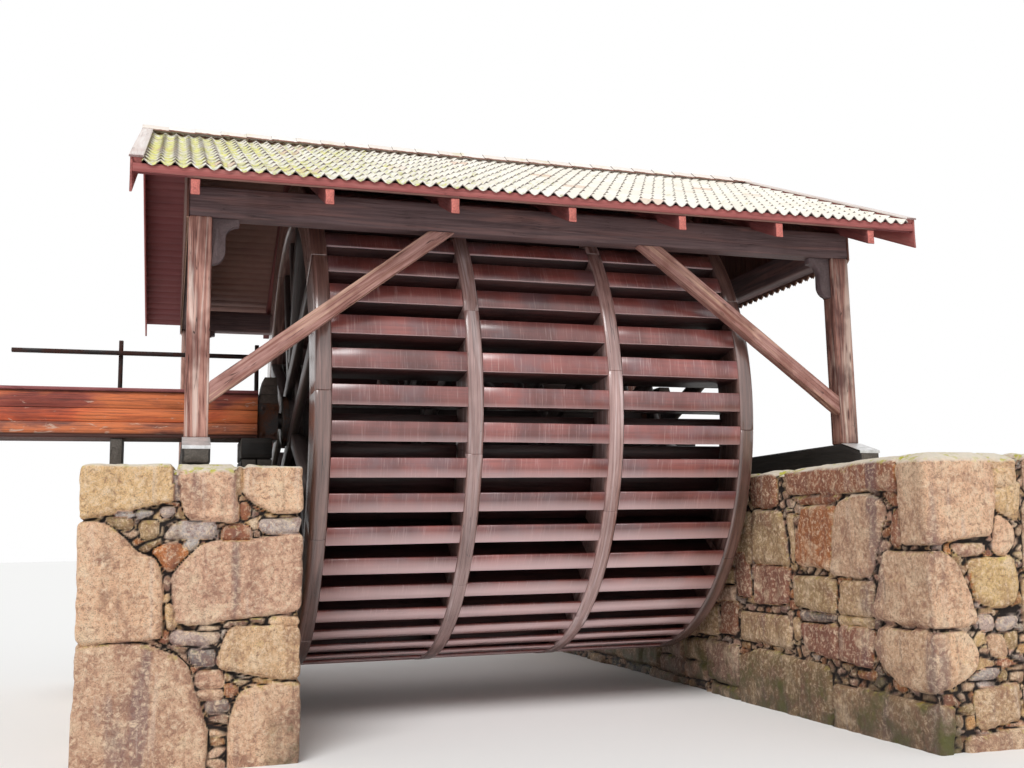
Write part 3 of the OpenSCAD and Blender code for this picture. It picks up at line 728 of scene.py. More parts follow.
def iron(name, body, rust, dull=0.55):
    """Old iron: the body colour with rust in patches, rougher where it rusts."""
    f = Finish(name)
    place = f.place()
    f.colour = body
    fine = f.noise(place, 55.0, 5.0, 0.6)
    patch = f.plus(f.noise(place, 5.0, 8.0, 0.65, 0.3), f.times(fine, 0.35))
    share = f.fit(patch, 0.58, 0.78)
    f.over(share, rust)
    f.over(f.fit(fine, 0.35, 0.75, 0.35, 0.0), (0.06, 0.05, 0.05))
    return f.done(f.fit(share, 0.0, 1.0, dull, 0.9), fine, 0.003, Metallic=0.35)


front_red = wet_red()
old_iron = iron("old_iron", (0.24, 0.22, 0.22), (0.40, 0.24, 0.16))

# %% [markdown]
# ## The rings
# Four rings hold the buckets. Each is built of curved timbers, the felloes,
# butted end to end, so a fine groove crosses the ring at every joint. The ring
# is an outline carried round a circle. The steps are uneven: close together at
# the joints, where the outline is drawn in, and wide apart between them.

# %% Make the rings
RINGS = ("ring_1", "ring_2", "ring_3", "ring_4")
RING_DEPTH = 0.56
RING_CUT = 0.014
RING_TURN = 0.31
FELLOES = 12
STEPS_IN_FELLOE = 11
JOINT_HALF = 0.006
JOINT_DEPTH = 0.007

ring_low, ring_high = box("ring_1")
axle_z = (ring_low[2] + ring_high[2]) / 2
wheel_r = (ring_high[2] - ring_low[2]) / 2
inner_r = wheel_r - RING_DEPTH


def turned(points, angle):
    """Points (..., 3) as x, distance ahead and distance up, turned about the axle: at angle 0 ahead
    is the front (-Y) and up is +Z, and the angle raises them."""
    x, ahead, up = np.moveaxis(np.asarray(points, float), -1, 0)
    cos, sin = np.cos(angle), np.sin(angle)
    return np.stack([x, -ahead * cos + up * sin, axle_z + ahead * sin + up * cos], -1)


def felloe_ring(low, high, turn, seed):
    """The outline is a rectangle from the inner to the outer radius with cut corners: x and the
    radius ahead. It is carried through three places at each joint, where the middle one is drawn in
    by JOINT_DEPTH, and even steps along each felloe."""
    pitch, half = 2 * np.pi / FELLOES, JOINT_HALF / wheel_r
    one = np.concatenate([[-half, 0.0, half], np.linspace(0, pitch, STEPS_IN_FELLOE + 1)[1:-1]])
    angles = (np.arange(FELLOES)[:, None] * pitch + one).ravel()
    groove = np.tile(np.arange(len(one)) == 1, FELLOES).astype(float)
    outline = np.array([(low[0], inner_r, 0), (high[0], inner_r, 0), (high[0], wheel_r, 0),
                        (low[0], wheel_r, 0)])
    outline = cut_corners(outline, RING_CUT, 3)
    outlines = outline + groove[:, None, None] * (draw_in(outline, JOINT_DEPTH) - outline)
    return hewn(turned(outlines, (angles + turn)[:, None])[None], 0.004, 0.25, seed)


for number, node in enumerate(RINGS):
    rings = felloe_ring(*box(node), RING_TURN * number, 40 + number)
    # Outer rings take the copy with painted shade, the middle two the copy with painted sheen.
    finish = shaded_rim_wood if number in (0, 3) else painted_sheen_rim
    dress(node, "felloes", rings, "wheel_wood", finish, body="wheel", closed=True, seed=40 + number)

# %% [markdown]
# ## Buckets
# Fifty buckets run round the wheel in three bays. Each has a front board on the
# rim, a floor board that runs inwards and a sole board on the inner edge. With
# 450 boards, each one has only a few dozen faces. A slight tilt and shift of
# its own keeps every board from lying in the same line, as on the real wheel.

# %% Make the bucket boards
BUCKETS = 50
BUCKET_PHASE = np.radians(4.8)
FRONT_WIDTH = 0.225
SOLE_WIDTH = 0.275
BOARD = 0.032
BOARD_CUT = 0.006
RIM_INSET = 0.003
SOLE_INSET = 0.008
TILT = 0.0045
END_GAP = 0.0006
half = BOARD / 2
rim_r = np.sqrt((wheel_r - RIM_INSET) ** 2 - FRONT_WIDTH**2)
sole_r = inner_r + BOARD + SOLE_INSET
bays = [(box(a)[1][0] + END_GAP, box(b)[0][0] - END_GAP) for a, b in zip(RINGS, RINGS[1:])]


def bucket_boards(inner, outer, foot, top, shy, seed):
    """Boards (150, 2, 4, 3) from an inner to an outer radius and from foot to top across it. Each
    end of a board moves by its own random numbers, but never outwards by more than it is shy of."""
    draw = np.random.default_rng(seed)
    ends = np.repeat(bays, BUCKETS, axis=0)
    angles = np.tile(BUCKET_PHASE + np.arange(BUCKETS) * 2 * np.pi / BUCKETS, len(bays))
    outline = np.array([(inner, foot), (outer, foot), (outer, top), (inner, top)])
    points = np.zeros((len(ends), 2, 4, 3))
    points[..., 0] = ends[:, :, None]
    points[..., 1:] = outline + draw.uniform(-TILT, TILT, (len(ends), 2, 1, 2)) - (shy, 0)
    return turned(points, angles[:, None, None])


rings = timbers(bucket_boards(rim_r - BOARD, rim_r, -half, FRONT_WIDTH - half, TILT, 1), BOARD_CUT, 0.5)
dress("bucket_fronts", "boards", hewn(rings, 0.003, 0.3, 50), "bucket_boards", front_red, body="wheel", seed=50)
rings = timbers(bucket_boards(sole_r, rim_r - BOARD, -half, half, 0.0, 2), BOARD_CUT, 0.8)
dress("bucket_floors", "boards", rings, "inner_boards", inner_wood, body="wheel", seed=51)
rings = timbers(bucket_boards(sole_r - BOARD, sole_r, -half, SOLE_WIDTH - half, 0.0, 3), BOARD_CUT, 0.8)
dress("sole_boards", "laid", rings, "inner_boards", inner_wood, body="wheel", seed=52)

# %% [markdown]
# ## Axle and arms
# The axle is a trunk hewn to eight sides. In each ring two arms clasp it from
# above and below and two from front and rear, halved over each other, and half
# arms fill the corners. Iron bands keep the axle's ends from splitting.

# %% Make the axle and the arms
ARM_PHASE = np.radians(21.0)
AXLE_WIDTH = 0.6
ARM_WIDTH = 0.21
ARM_THICK = 0.088
ARM_CUT = 0.01
HALF_ARM_WIDTH = 0.18
BAND_WIDTH = 0.07
BAND_THICK = 0.012
BAND_PLACES = (0.01, 0.16)


def octagon(x, width):
    """Eight corners at x, each at half the width over cos(22.5 deg) from the middle."""
    corner = np.radians(22.5) + np.arange(8) * np.pi / 4
    reach = width / 2 / np.cos(np.radians(22.5))
    return np.stack([np.full(8, x), reach * np.cos(corner), reach * np.sin(corner)], -1)


axle_low, axle_high = box("axle")
trunk = turned([[octagon(x, AXLE_WIDTH) for x in (axle_low[0], axle_high[0])]], ARM_PHASE)
rings = hewn(timbers(trunk, 0.02, 0.25), 0.008, (0.9, 0.2, 0.2), 60)
dress("axle", "trunk", rings, "wheel_wood", wheel_wood, body="wheel", seed=60)


def axle_bands():
    """Octagonal rings round both ends: their outlines are one closed walk out along the band's
    outside and back along its inside, carried round the eight corners."""
    outer, inner = octagon(0.0, AXLE_WIDTH + 2 * BAND_THICK), octagon(0.0, AXLE_WIDTH - 0.02)
    walk = np.stack([inner, outer, outer, inner], 1)
    walk[..., 0] = np.array([-1, -1, 1, 1]) * BAND_WIDTH / 2
    middles = [side * (axle_high[0] - place - BAND_WIDTH / 2) for side in (-1, 1) for place in BAND_PLACES]
    return turned([walk + (x, 0, 0) for x in middles], ARM_PHASE)


piece("axle_bands", axle_bands(), "iron", old_iron, body="wheel", closed=True, seed=61)


def arm_boards(low_x, high_x, near, far, low_up, high_up, angle):
    """Bars from near to far along the arm, between two distances across it, in all four rings."""
    middles = np.array([(box(ring)[0][0] + box(ring)[1][0]) / 2 for ring in RINGS])
    points = np.zeros((4, 2, 4, 3))
    points[..., 0] = middles[:, None, None] + (low_x, high_x, high_x, low_x)
    points[..., 1] = np.array([near, far])[:, None]
    points[..., 2] = (low_up, low_up, high_up, high_up)
    return turned(points, angle)


near_up = AXLE_WIDTH / 2
across = near_up + ARM_WIDTH
reach = np.sqrt(inner_r**2 - across**2)
corner = across * np.sqrt(2) + HALF_ARM_WIDTH / 2
arms = {}
for node, turn, start in (("level_arms", 0.0, -ARM_THICK), ("upright_arms", np.pi / 2, 0.0)):
    arms[node] = [arm_boards(start, start + ARM_THICK, -reach, reach, low_up, high_up, ARM_PHASE + turn)
                  for low_up, high_up in ((-across, -near_up), (near_up, across))]
arms["half_arms"] = [arm_boards(-ARM_THICK, ARM_THICK, corner, inner_r - 0.002, -HALF_ARM_WIDTH / 2,
                                HALF_ARM_WIDTH / 2, ARM_PHASE + (k + 0.5) * np.pi / 2) for k in range(4)]
for (node, sections), seed in zip(arms.items(), (62, 62, 63)):
    rings = hewn(timbers(np.concatenate(sections), ARM_CUT, 0.3), 0.004, 0.4, seed)
    dress(node, "timber", rings, "wheel_wood", wheel_wood, body="wheel", seed=seed)

# %% [markdown]
# ## Stones of the piers
# The piers are dry walls of split granite: a few very large blocks, wedged with
# small flat stones where they don't meet. In the mesh, one closed skin wraps a
# whole pier, and the joints are pressed into it. Each stone is a convex block
# in space, so a corner stone shows on both faces that it touches, as real ones
# do. Building every stone as its own piece would also work, but the hundreds
# of small ones would need far more faces.

# %% Blocks as planes, and the distance to them
ARRIS = 0.05
OPEN = 1.0
FAR_PLANE = (0.0, 0.0, 0.0, 50.0)
AT_ONCE = 4000
PIN_CELL = np.array([0.21, 0.21, 0.11])


class Stones:
    """Blocks kept as planes: each has a direction and how far out it lies."""

    def __init__(self, node):
        self.low, self.high = box(node)
        self.planes, self.middles, self.looks = [], [], []

    def add(self, look, outlines, between=None):
        """A block is what lies inside one or two convex outlines and between two places. An outline
        is a row of centimetres: x and z by turns where its axis is 0, or y and z where it is 1.
        look is tone, warmth, how far the face lies back and how far its upper edge is lowered."""
        planes, middle = [], (self.low + self.high) / 2
        for axis, outline in outlines:
            points = np.reshape(outline, (-1, 2)) / 100.0
            way = np.roll(points, -1, axis=0) - points
            out = np.stack([way[:, 1], -way[:, 0]], -1) / np.linalg.norm(way, axis=1, keepdims=True)
            reach = (out * points).sum(axis=1)
            sign = np.where(out @ points.mean(axis=0) < reach, 1.0, -1.0)
            sides = np.zeros((len(points), 4))
            sides[:, axis], sides[:, 2], sides[:, 3] = sign * out[:, 0], sign * out[:, 1], sign * reach
            planes.extend(sides)
            middle[[axis, 2]] = np.clip(points, self.low[[axis, 2]], self.high[[axis, 2]]).mean(axis=0)
        if between is not None:
            axis, near, far = between
            planes.extend([(*-np.eye(3)[axis], -near), (*np.eye(3)[axis], far)])
            middle[axis] = np.clip(near, self.low[axis], self.high[axis])
        self.planes.append(planes)
        self.middles.append(middle)
        self.looks.append(look)

    def nearest(self, points):
        """For each point the smallest distance to a block and that block's number. The distance
        is the root of the summed squares of how far the point lies past each plane moved in by
        ARRIS, less ARRIS, so that corners are round."""
        most = max(len(planes) for planes in self.planes)
        planes = np.array([[*p, *[FAR_PLANE] * (most - len(p))] for p in self.planes])
        away, number = np.zeros(len(points)), np.zeros(len(points), int)
        for start in range(0, len(points), AT_ONCE):
            part = slice(start, start + AT_ONCE)
            past = points[part] @ planes[..., :3].reshape(-1, 3).T - planes[..., 3].ravel()
            past = np.maximum(past.reshape(-1, *planes.shape[:2]) + ARRIS, 0.0)
            distance = np.sqrt((past**2).sum(axis=2)) - ARRIS
            number[part], away[part] = distance.argmin(axis=1), distance.min(axis=1)
        return away, number


def pinning(points, seed):
    """Small stones that fill what the blocks leave: each cell has one random point, and a stone is
    where one of these is the nearest. Gives the distance to the stone's edge and its number."""
    grid = points / PIN_CELL
    base = np.floor(grid).astype(np.int64)
    best = np.full(len(points), 9.0)
    second = best.copy()
    owner = np.zeros(len(points))
    for step in np.ndindex(3, 3, 3):
        cell = base + np.array(step) - 1
        spot = cell + np.stack([lattice(cell, seed + i) for i in range(3)], -1)
        distance = np.linalg.norm(grid - spot, axis=1)
        closer = distance < best
        second = np.where(closer, best, np.minimum(second, distance))
        owner = np.where(closer, lattice(cell, seed + 5), owner)
        best = np.where(closer, distance, best)
    return (second - best) * PIN_CELL[2] / 2, owner


print("stones: arris", ARRIS, "m; pinning stones in cells of", PIN_CELL.tolist())

# %% [markdown]
# ## The skin of a pier
# A pier's skin goes round its plan, ring above ring, over the rounded rim and
# then inwards over the top. Steps are fine where the photograph shows the wall
# and wide where it doesn't. The stones then press the skin in: a little at the
# rounded edges of each block, deeply in the joints, and everywhere by the
# noise of a split face.

# %% Walk round a pier and press the stones in
CORNER_RADIUS = 0.045
RIM = ((0.060, 0.0, 0.0), (0.034, 0.004, 0.3), (0.014, 0.014, 0.6), (0.003, 0.034, 0.9))
INSET_STEP = 0.055
LOWERED = 0.3
WARP = 0.022
WARP_CELL = 0.34
JOINT_HOLLOW = 0.085
PIN_RECESS = 0.035
# Share of painted shade on the pier sides that face the wheel.
CHANNEL_SHADE = 0.2


def marks(*stretches):
    """Distances from the start, for stretches of (length, step), with even steps in each."""
    places = [0.0]
    for length, step in stretches:
        count = max(1, int(round(length / step)))
        places.extend(places[-1] + length * np.arange(1, count + 1) / count)
    return np.array(places)


def plan_walk(low, high, sides):
    """Points round the plan from the front left corner, along the front, the right side, the rear
    and the left side. Each point is drawn onto a circle of CORNER_RADIUS round the nearest point
    of the smaller rectangle, which also gives the outward direction."""
    corners = np.array([(low[0], low[1]), (high[0], low[1]), (high[0], high[1]), (low[0], high[1])])
    ways = np.array([(1, 0), (0, 1), (-1, 0), (0, -1)])
    points = [corner + places[:-1, None] * way for corner, way, places in zip(corners, ways, sides)]
    points = np.concatenate(points)
    inner = np.clip(points, low[:2] + CORNER_RADIUS, high[:2] - CORNER_RADIUS)
    out = (points - inner) / np.linalg.norm(points - inner, axis=1, keepdims=True)
    return inner + CORNER_RADIUS * out, out


def masonry(stones, sides, row_step, seed, shaded_side=0):
    """Rings of the walk at each height, then over the rim and inwards over the top. Each point
    moves against its outward direction by the depth that the stones give there. The side that
    faces the wheel, towards the sign given along X, gets painted shade: its tone is darker."""
    low, high = stones.low, stones.high
    plan, out = plan_walk(low, high, sides)
    top, half = high[2], (high - low)[:2].min() / 2
    heights = np.linspace(low[2], top - RIM[0][0], int(round((top - low[2]) / row_step)))
    insets = np.arange(RIM[-1][1] + 0.03, half * 0.97, INSET_STEP)
    rows = [(z, 0.0, 0.0) for z in heights] + [(top - down, inset, tip) for down, inset, tip in RIM[1:]]
    rows = np.array(rows + [(top, inset, 1.0) for inset in insets])
    size = (len(rows), len(plan))
    base = np.zeros((*size, 3))
    spine = np.clip(plan, low[:2] + half, high[:2] - half)
    base[..., :2] = plan + (rows[:, 1] / half)[:, None, None] * (spine - plan)
    base[..., 2] = rows[:, 0, None]
    tip = rows[:, 2, None, None] * np.pi / 2
    direction = np.concatenate([out * np.cos(tip), np.sin(tip) + np.zeros((1, len(plan), 1))], -1)
    depth, look = press(base.reshape(-1, 3), stones, seed)
    depth, look = depth.reshape(*size, 1), look.reshape(*size, 4)
    lower = look[..., 3] * np.clip(1 - (top - base[..., 2]) / LOWERED, 0, 1) ** 2
    lower *= np.clip(1 - rows[:, 1, None] / LOWERED, 0, 1) ** 2
    moved = base - direction / np.linalg.norm(direction, axis=-1, keepdims=True) * depth
    moved[..., 2] -= lower
    moved[0, :, 2] = low[2]
    moved[..., 2] = np.maximum(moved[..., 2], low[2])
    # Painted shade: the tone darkens on the side that faces the wheel.
    look[..., 0] *= 1 - CHANNEL_SHADE * np.clip(shaded_side * direction[..., 0], 0, 1)
    print(f"masonry: {len(rows)} rings of {len(plan)} points, {len(stones.planes)} blocks")
    return {"rings": moved[None], "values": look[None], "seed": seed}


def press(points, stones, seed):
    """Depth and look of the wall at each point. The point is first moved by noise, so that edges
    wander. In a block the depth is the arris's rounding, a tilt of its own and split-face noise;
    between blocks it is the pinning stones' recess; at an edge it falls to the joint's depth."""
    shift = np.stack([rough(points, WARP_CELL, seed + 7 * i) for i in range(3)], -1)
    moved = points + 2 * WARP * shift
    away, number = stones.nearest(moved)
    looks = np.array(stones.looks)[number]
    small, owner = pinning(moved, seed)
    pin_away = np.maximum(0.010 - small, 0.022 - away)
    in_block = away < np.minimum(pin_away, 0.012)
    edge = np.minimum(np.where(in_block, away, np.maximum(pin_away, -0.04)), away)
    cells = np.stack([number] * 3, -1)
    tilt = np.stack([lattice(cells, seed + 20 + i) - 0.5 for i in range(3)], -1)
    lean = ((points - np.array(stones.middles)[number]) * tilt).sum(axis=1) * 0.05
    broad = np.abs(rough(points, 0.5, seed + 40, 2))
    chips = rough(points, 0.13, seed + 50)
    arris = 0.032 * np.clip(1 + away / ARRIS, 0, 1) ** 2
    face = looks[:, 2] + np.clip(lean, -0.012, 0.012) + 0.045 * broad + 0.024 * chips + arris
    pins = PIN_RECESS + 0.03 * owner + 0.02 * chips + 0.012 * np.clip(1 + pin_away / 0.02, 0, 1)
    stone = np.where(in_block, face, pins)
    joint = np.clip((edge + 0.001) / 0.013, 0, 1)
    depth = stone + joint * joint * (3 - 2 * joint) * (JOINT_HOLLOW - stone)
    tone = np.where(in_block, looks[:, 0], 0.40 + 0.55 * owner)
    warmth = np.where(in_block, looks[:, 1], (owner * 7.3) % 1.0)
    look = np.stack([tone, warmth, np.clip(0.5 + 6.0 * edge, 0, 1), looks[:, 3]], -1)
    return np.maximum(depth, 0.0), look


def wall_rows(start, end, levels, mean, seed, starts=None):
    """Blocks (a0, a1, z0, z1) along a wall, one row for each two levels: random lengths about the
    mean, scaled to fill the row, and one block in four is split into two flat ones."""
    draw = np.random.default_rng(seed)
    blocks = []
    for row, (z0, z1) in enumerate(zip(levels, levels[1:])):
        begin = start if starts is None else starts[row]
        lengths = draw.uniform(0.55, 1.45, max(1, int(round((end - begin) / mean))))
        edges = begin + np.concatenate([[0], np.cumsum(lengths)]) * (end - begin) / lengths.sum()
        for a0, a1 in zip(edges, edges[1:]):
            low, high = z0 + draw.uniform(0, 0.05), z1 - draw.uniform(0, 0.05)
            middle = low + (high - low) * draw.uniform(0.4, 0.6)
            gap = draw.uniform(0.008, 0.03)
            two = draw.random() < 0.28 and high - low > 0.35
            for z in ((low, middle - 0.012), (middle + 0.012, high)) if two else ((low, high),):
                blocks.append((a0 + gap, a1 - gap, *z))
    return blocks


def fill_side(stones, blocks, axis, near, far, seed):
    """Adds wall rows along X (axis 0) or Y (axis 1), between two places across them. Each corner
    moves by its own few centimetres, and what reaches the wall's end or top goes on past it."""
    draw = np.random.default_rng(seed)
    low, high = stones.low[[axis, 2]], stones.high[[axis, 2]]
    for a0, a1, z0, z1 in blocks:
        outline = np.array([(a0, z0), (a1, z0), (a1, z1), (a0, z1)]) + draw.uniform(-0.02, 0.02, (4, 2))
        outline = np.where(outline < low + 0.1, outline - OPEN, outline)
        outline = np.where(outline > high - 0.1, outline + OPEN, outline)
        look = (draw.uniform(0.6, 0.95), draw.uniform(0.1, 0.65), 0.01, draw.uniform(0.0, 0.05))
        stones.add(look, ((axis, outline * 100),), (1 - axis, near, far))


print("masonry: joints", JOINT_HOLLOW, "m deep")

# %% [markdown]
# ## Granite
# Split granite is pinkish grey with a salt-and-pepper grain. The attribute
# "mark" brings what the mesh knows: each block's tone and warmth, and the
# distance to its edge, so that the joints stay sharp and dark between points.
# On top of that come rain streaks down the faces, pale tops with moss, and a
# darker, greener foot in the channel, which damp has stained.

# %% The granite finish
FOOT_HEIGHT = 0.9
SHADES = ((0.0, (0.84, 0.81, 0.79)), (0.2, (0.93, 0.73, 0.62)), (0.4, (0.97, 0.79, 0.63)),
          (0.6, (0.93, 0.78, 0.52)), (0.8, (0.90, 0.54, 0.25)), (1.0, (0.74, 0.48, 0.38)))


def granite_finish():
    """Warmth picks the body colour from a ramp, tone darkens it, noise at three sizes adds
    mottling, dark and pale crystals, wide bands and thin rain streaks run down, and the joint mask
    turns it to dark earth where the edge number passes its middle."""
    f = Finish("granite")
    place = f.place()
    tone, warmth, edge = (f.part("mark", i) for i in range(3))
    f.colour = f.add("ValToRGB", {"Fac": warmth}, "Color")
    stops = f.colour.node.color_ramp
    while len(stops.elements) < len(SHADES):
        stops.elements.new(0.5)
    for element, (where, shade) in zip(stops.elements, SHADES):
        element.position, element.color = where, screen(*shade)
    f.over(1.0, f.grey(f.fit(tone, 0.3, 1.0, 0.22, 1.0)), "MULTIPLY")
    cloud = f.noise(place, 3.2, 5.0, 0.62, 0.4)
    band = f.noise(place, (2.4, 2.4, 0.35), 4.0, 0.6, 0.3)
    streak = f.noise(place, (9.0, 9.0, 0.6), 5.0, 0.6, 0.5)
    mottle = f.noise(place, 22.0, 8.0, 0.72, 0.5)
    grains = f.noise(place, 95.0, 3.0, 0.75)
    for value, low, high, share, colour in (
            (cloud, 0.50, 0.66, 0.6, (0.56, 0.38, 0.32)), (cloud, 0.48, 0.32, 0.7, (0.97, 0.86, 0.72)),
            (band, 0.56, 0.66, 0.6, (0.46, 0.38, 0.41)),
            (streak, 0.56, 0.72, 0.4, (0.40, 0.29, 0.26)), (streak, 0.42, 0.28, 0.4, (0.92, 0.86, 0.80)),
            (mottle, 0.52, 0.64, 0.7, (0.58, 0.40, 0.33)), (mottle, 0.50, 0.38, 0.7, (1.00, 0.89, 0.76)),
            (grains, 0.54, 0.66, 0.65, (0.36, 0.28, 0.26))):
        f.lay(value, low, high, share, colour)
    height = f.axis(place, 2)
    patch = f.noise(place, 2.1, 5.0, 0.65)
    channel = f.fit(f.maths("ABSOLUTE", f.axis(place, 0)), 3.25, 2.95)
    wet = f.times(channel, f.fit(height, FOOT_HEIGHT, 0.0, 0.0, 0.9))
    wet = f.times(wet, f.fit(patch, 0.3, 0.55))
    f.over(wet, (0.30, 0.24, 0.18))
    f.over(f.times(f.fit(wet, 0.1, 0.6), f.fit(patch, 0.50, 0.64)), (0.36, 0.35, 0.15))
    crest, up = f.fit(height, 2.3, 2.65), f.upward()
    f.over(f.times(f.times(f.fit(up, 0.35, 0.9), crest), 0.85), (0.96, 0.93, 0.86))
    moss = f.times(f.fit(up, 0.1, 0.7), f.fit(f.noise(place, 9.0, 6.0, 0.7), 0.52, 0.60))
    where = f.times(f.fit(patch, 0.42, 0.55), f.fit(crest, 0.0, 1.0, 0.4, 1.0))
    f.over(f.times(moss, where), (0.80, 0.78, 0.30))
    f.lay(edge, 0.495, 0.54, 1.0, (0.12, 0.08, 0.06))
    bump = f.plus(f.times(grains, 0.15), f.maths("SUBTRACT", 0.0, mottle))
    return f.done(f.fit(wet, 0.0, 0.8, 0.88, 0.45), bump, 0.035)


granite = granite_finish()

# %% [markdown]
# ## The left pier
# Its front face has been measured stone by stone: a few big blocks with slanted
# edges, an orange wedge between two of them, and the small stones in the gaps.
# The other faces, which the photograph doesn't show, get rows of like blocks.
# A table gives each block a row: its tone, its warmth and how far it lies back.
# Where they aren't 0 and the usual depth, it goes on with how low its upper
# edge lies and how deep the block goes. After the bar come the corners in
# centimetres: x and z on a front, y and z on a side.

# %% Make the left pier
TOP_SLAB = 2.0
PIER_TOP = 2.90
REAR_BLOCKS = 0.62
LEFT_LEVELS = (0.0, 0.28, 0.74, 1.20, 1.72, 2.29, PIER_TOP)
LEFT_STARTS = (-3.36, -3.36, -3.36, -3.22, -3.22, -3.40)
CHANNEL_LEVELS = (0.0, 0.38, 0.80, 1.31, 1.75, 2.34, PIER_TOP)
CHANNEL_STARTS = (-3.32, -3.32, -3.42, -3.26, -3.26, -3.46)
LEFT_FRONT = """
1 0.52 0 0.02 0.58 | -600 400 -411 400 -407 249 -439 242 -472 232 -600 232;
1 0.3 0 0.08 0.5 | -402 400 -358 400 -348 253 -348 231 -397 233 -404 251;
1 0.38 0 0.02 0.52 | -338 400 -200 400 -200 238 -319 239 -344 257;
0.98 0.36 0 0 0.76 | -600 231 -469 230 -421 192 -415 171 -416 121 -441 119 -600 127;
0.95 0.82 0.02 0 0.4 | -429 204 -407 212 -392 201 -412 183;
0.88 0.26 0 0 0.72 | -377 211 -200 228 -200 141 -359 135 -402 129 -410 182;
0.86 0.46 0.01 0 0.55 | -353 131 -200 128 -200 79 -307 78 -365 94 -366 103;
0.8 0.3 0 0 0.62 | -600 117 -437 119 -393 100 -374 42 -373 -20 -600 -20;
0.9 0.34 0 0 0.66 | -200 75 -325 76 -342 71 -354 45 -353 -20 -200 -20;
0.86 0.04 0.02 0 0.4 | -330 233 -200 238 -200 228 -319 218 -329 224;
1 0.45 0.02 0 0.3 | -318 139 -200 140 -200 128 -317 130;
0.88 0.05 0.04 0.06 0.25 | -410 400 -403 400 -403 251 -409 251;
0.96 0.52 0.03 | -356 400 -344 400 -343 259 -351 255;
0.8 0.92 0.04 | -348 251 -338 249 -338 234 -347 233;
1 0.02 0.04 | -408 231 -368 231 -368 214 -419 214;
0.76 0.96 0.04 | -361 229 -339 229 -333 214 -364 213;
0.84 0 0.04 | -397 213 -381 213 -389 201 -401 207;
0.62 0.52 0.05 | -441 231 -422 232 -422 216 -435 214;
0.56 0.55 0.05 | -470 235 -445 234 -445 222 -465 227;
1 0 0.03 | -462 241 -445 241 -444 235 -462 235;
0.78 0 0.03 | -444 242 -425 240 -435 233 -444 234;
0.8 0.06 0.03 | -423 244 -408 247 -408 237 -420 234;
0.6 0.2 0.04 | -416 182 -410 182 -410 167 -415 167;
1 0.52 0.03 | -415 166 -409 165 -409 155 -415 155;
1 0.5 0.02 | -413 155 -406 155 -402 129 -411 127;
0.86 0.08 0.03 | -409 127 -363 127 -363 118 -391 113 -408 115;
0.5 0.02 0.05 | -392 112 -367 111 -366 95 -389 97;
0.88 0.28 0.04 | -385 91 -359 92 -357 75 -384 77;
0.74 0.3 0.04 | -384 75 -358 74 -359 64 -383 66;
0.72 0.92 0.05 | -357 81 -342 73 -346 66 -357 66;
0.55 0.04 0.05 | -376 65 -354 65 -352 52 -374 51;
1 0.44 0.03 | -600 125 -471 123 -472 118 -600 118"""


def fill_top(stones, start, rear, near, far, seed):
    """Adds a row of slabs along the middle of a pier's top."""
    blocks = [(a0, a1, TOP_SLAB, PIER_TOP) for a0, a1, _, _ in wall_rows(start, rear, (0, 1), 0.8, seed)]
    fill_side(stones, blocks, 1, near, far, seed + 1)


def rows_of(text):
    """A table's numbers: a semicolon ends a row, and a bar parts a row's groups."""
    return [[[float(word) for word in group.split()] for group in row.split("|")] for row in text.split(";")]


def by_hand(stones, text, axis, face, usual):
    """Adds a table's blocks: an outline seen along the other axis, and how deep they go in."""
    for given, outline in rows_of(text):
        *look, depth = (*given, 0.0, usual)[:5]
        stones.add(look, ((axis, outline),), (1 - axis, face - OPEN, face + depth))


def left_pier():
    """The front blocks as listed, then rows on both long sides, the rear, and slabs in the middle."""
    stones = Stones("left_pier")
    low, high = stones.low, stones.high
    by_hand(stones, LEFT_FRONT, 0, low[1], 0.25)
    rear = high[1] - REAR_BLOCKS
    sides = ((LEFT_LEVELS, LEFT_STARTS, low[0] - OPEN, low[0] + 0.55),
             (CHANNEL_LEVELS, CHANNEL_STARTS, high[0] - 0.55, high[0] + OPEN))
    for number, (levels, starts, near, far) in enumerate(sides):
        blocks = wall_rows(0.0, rear, levels, 0.92, 80 + number, starts)
        fill_side(stones, blocks, 1, near, far, 82 + number)
    blocks = wall_rows(low[0], high[0], CHANNEL_LEVELS, 0.72, 84)
    fill_side(stones, blocks, 0, rear + 0.02, high[1] + OPEN, 85)
    fill_top(stones, -3.3, rear, low[0] + 0.58, high[0] - 0.58, 86)
    length, width = high[1] - low[1], high[0] - low[0]
    walk = [marks((width, 0.0185)), marks((1.3, 0.026), (length - 1.3, 0.06)), marks((width, 0.05)),
            marks((length - 2.0, 0.06), (2.0, 0.028))]
    return masonry(stones, walk, 0.019, 300, shaded_side=1)


dress("left_pier", "stones", slot="granite", finish=granite, **left_pier())

# %% [markdown]
# ## The right pier and its wing wall
# The side towards the wheel shows in the photograph, with big corner stones at
# the front and stones that darken towards the foot. A corner stone is what
# lies inside both its outlines, on the side and on the front. A short wall runs
# on to the right, in line with the front.

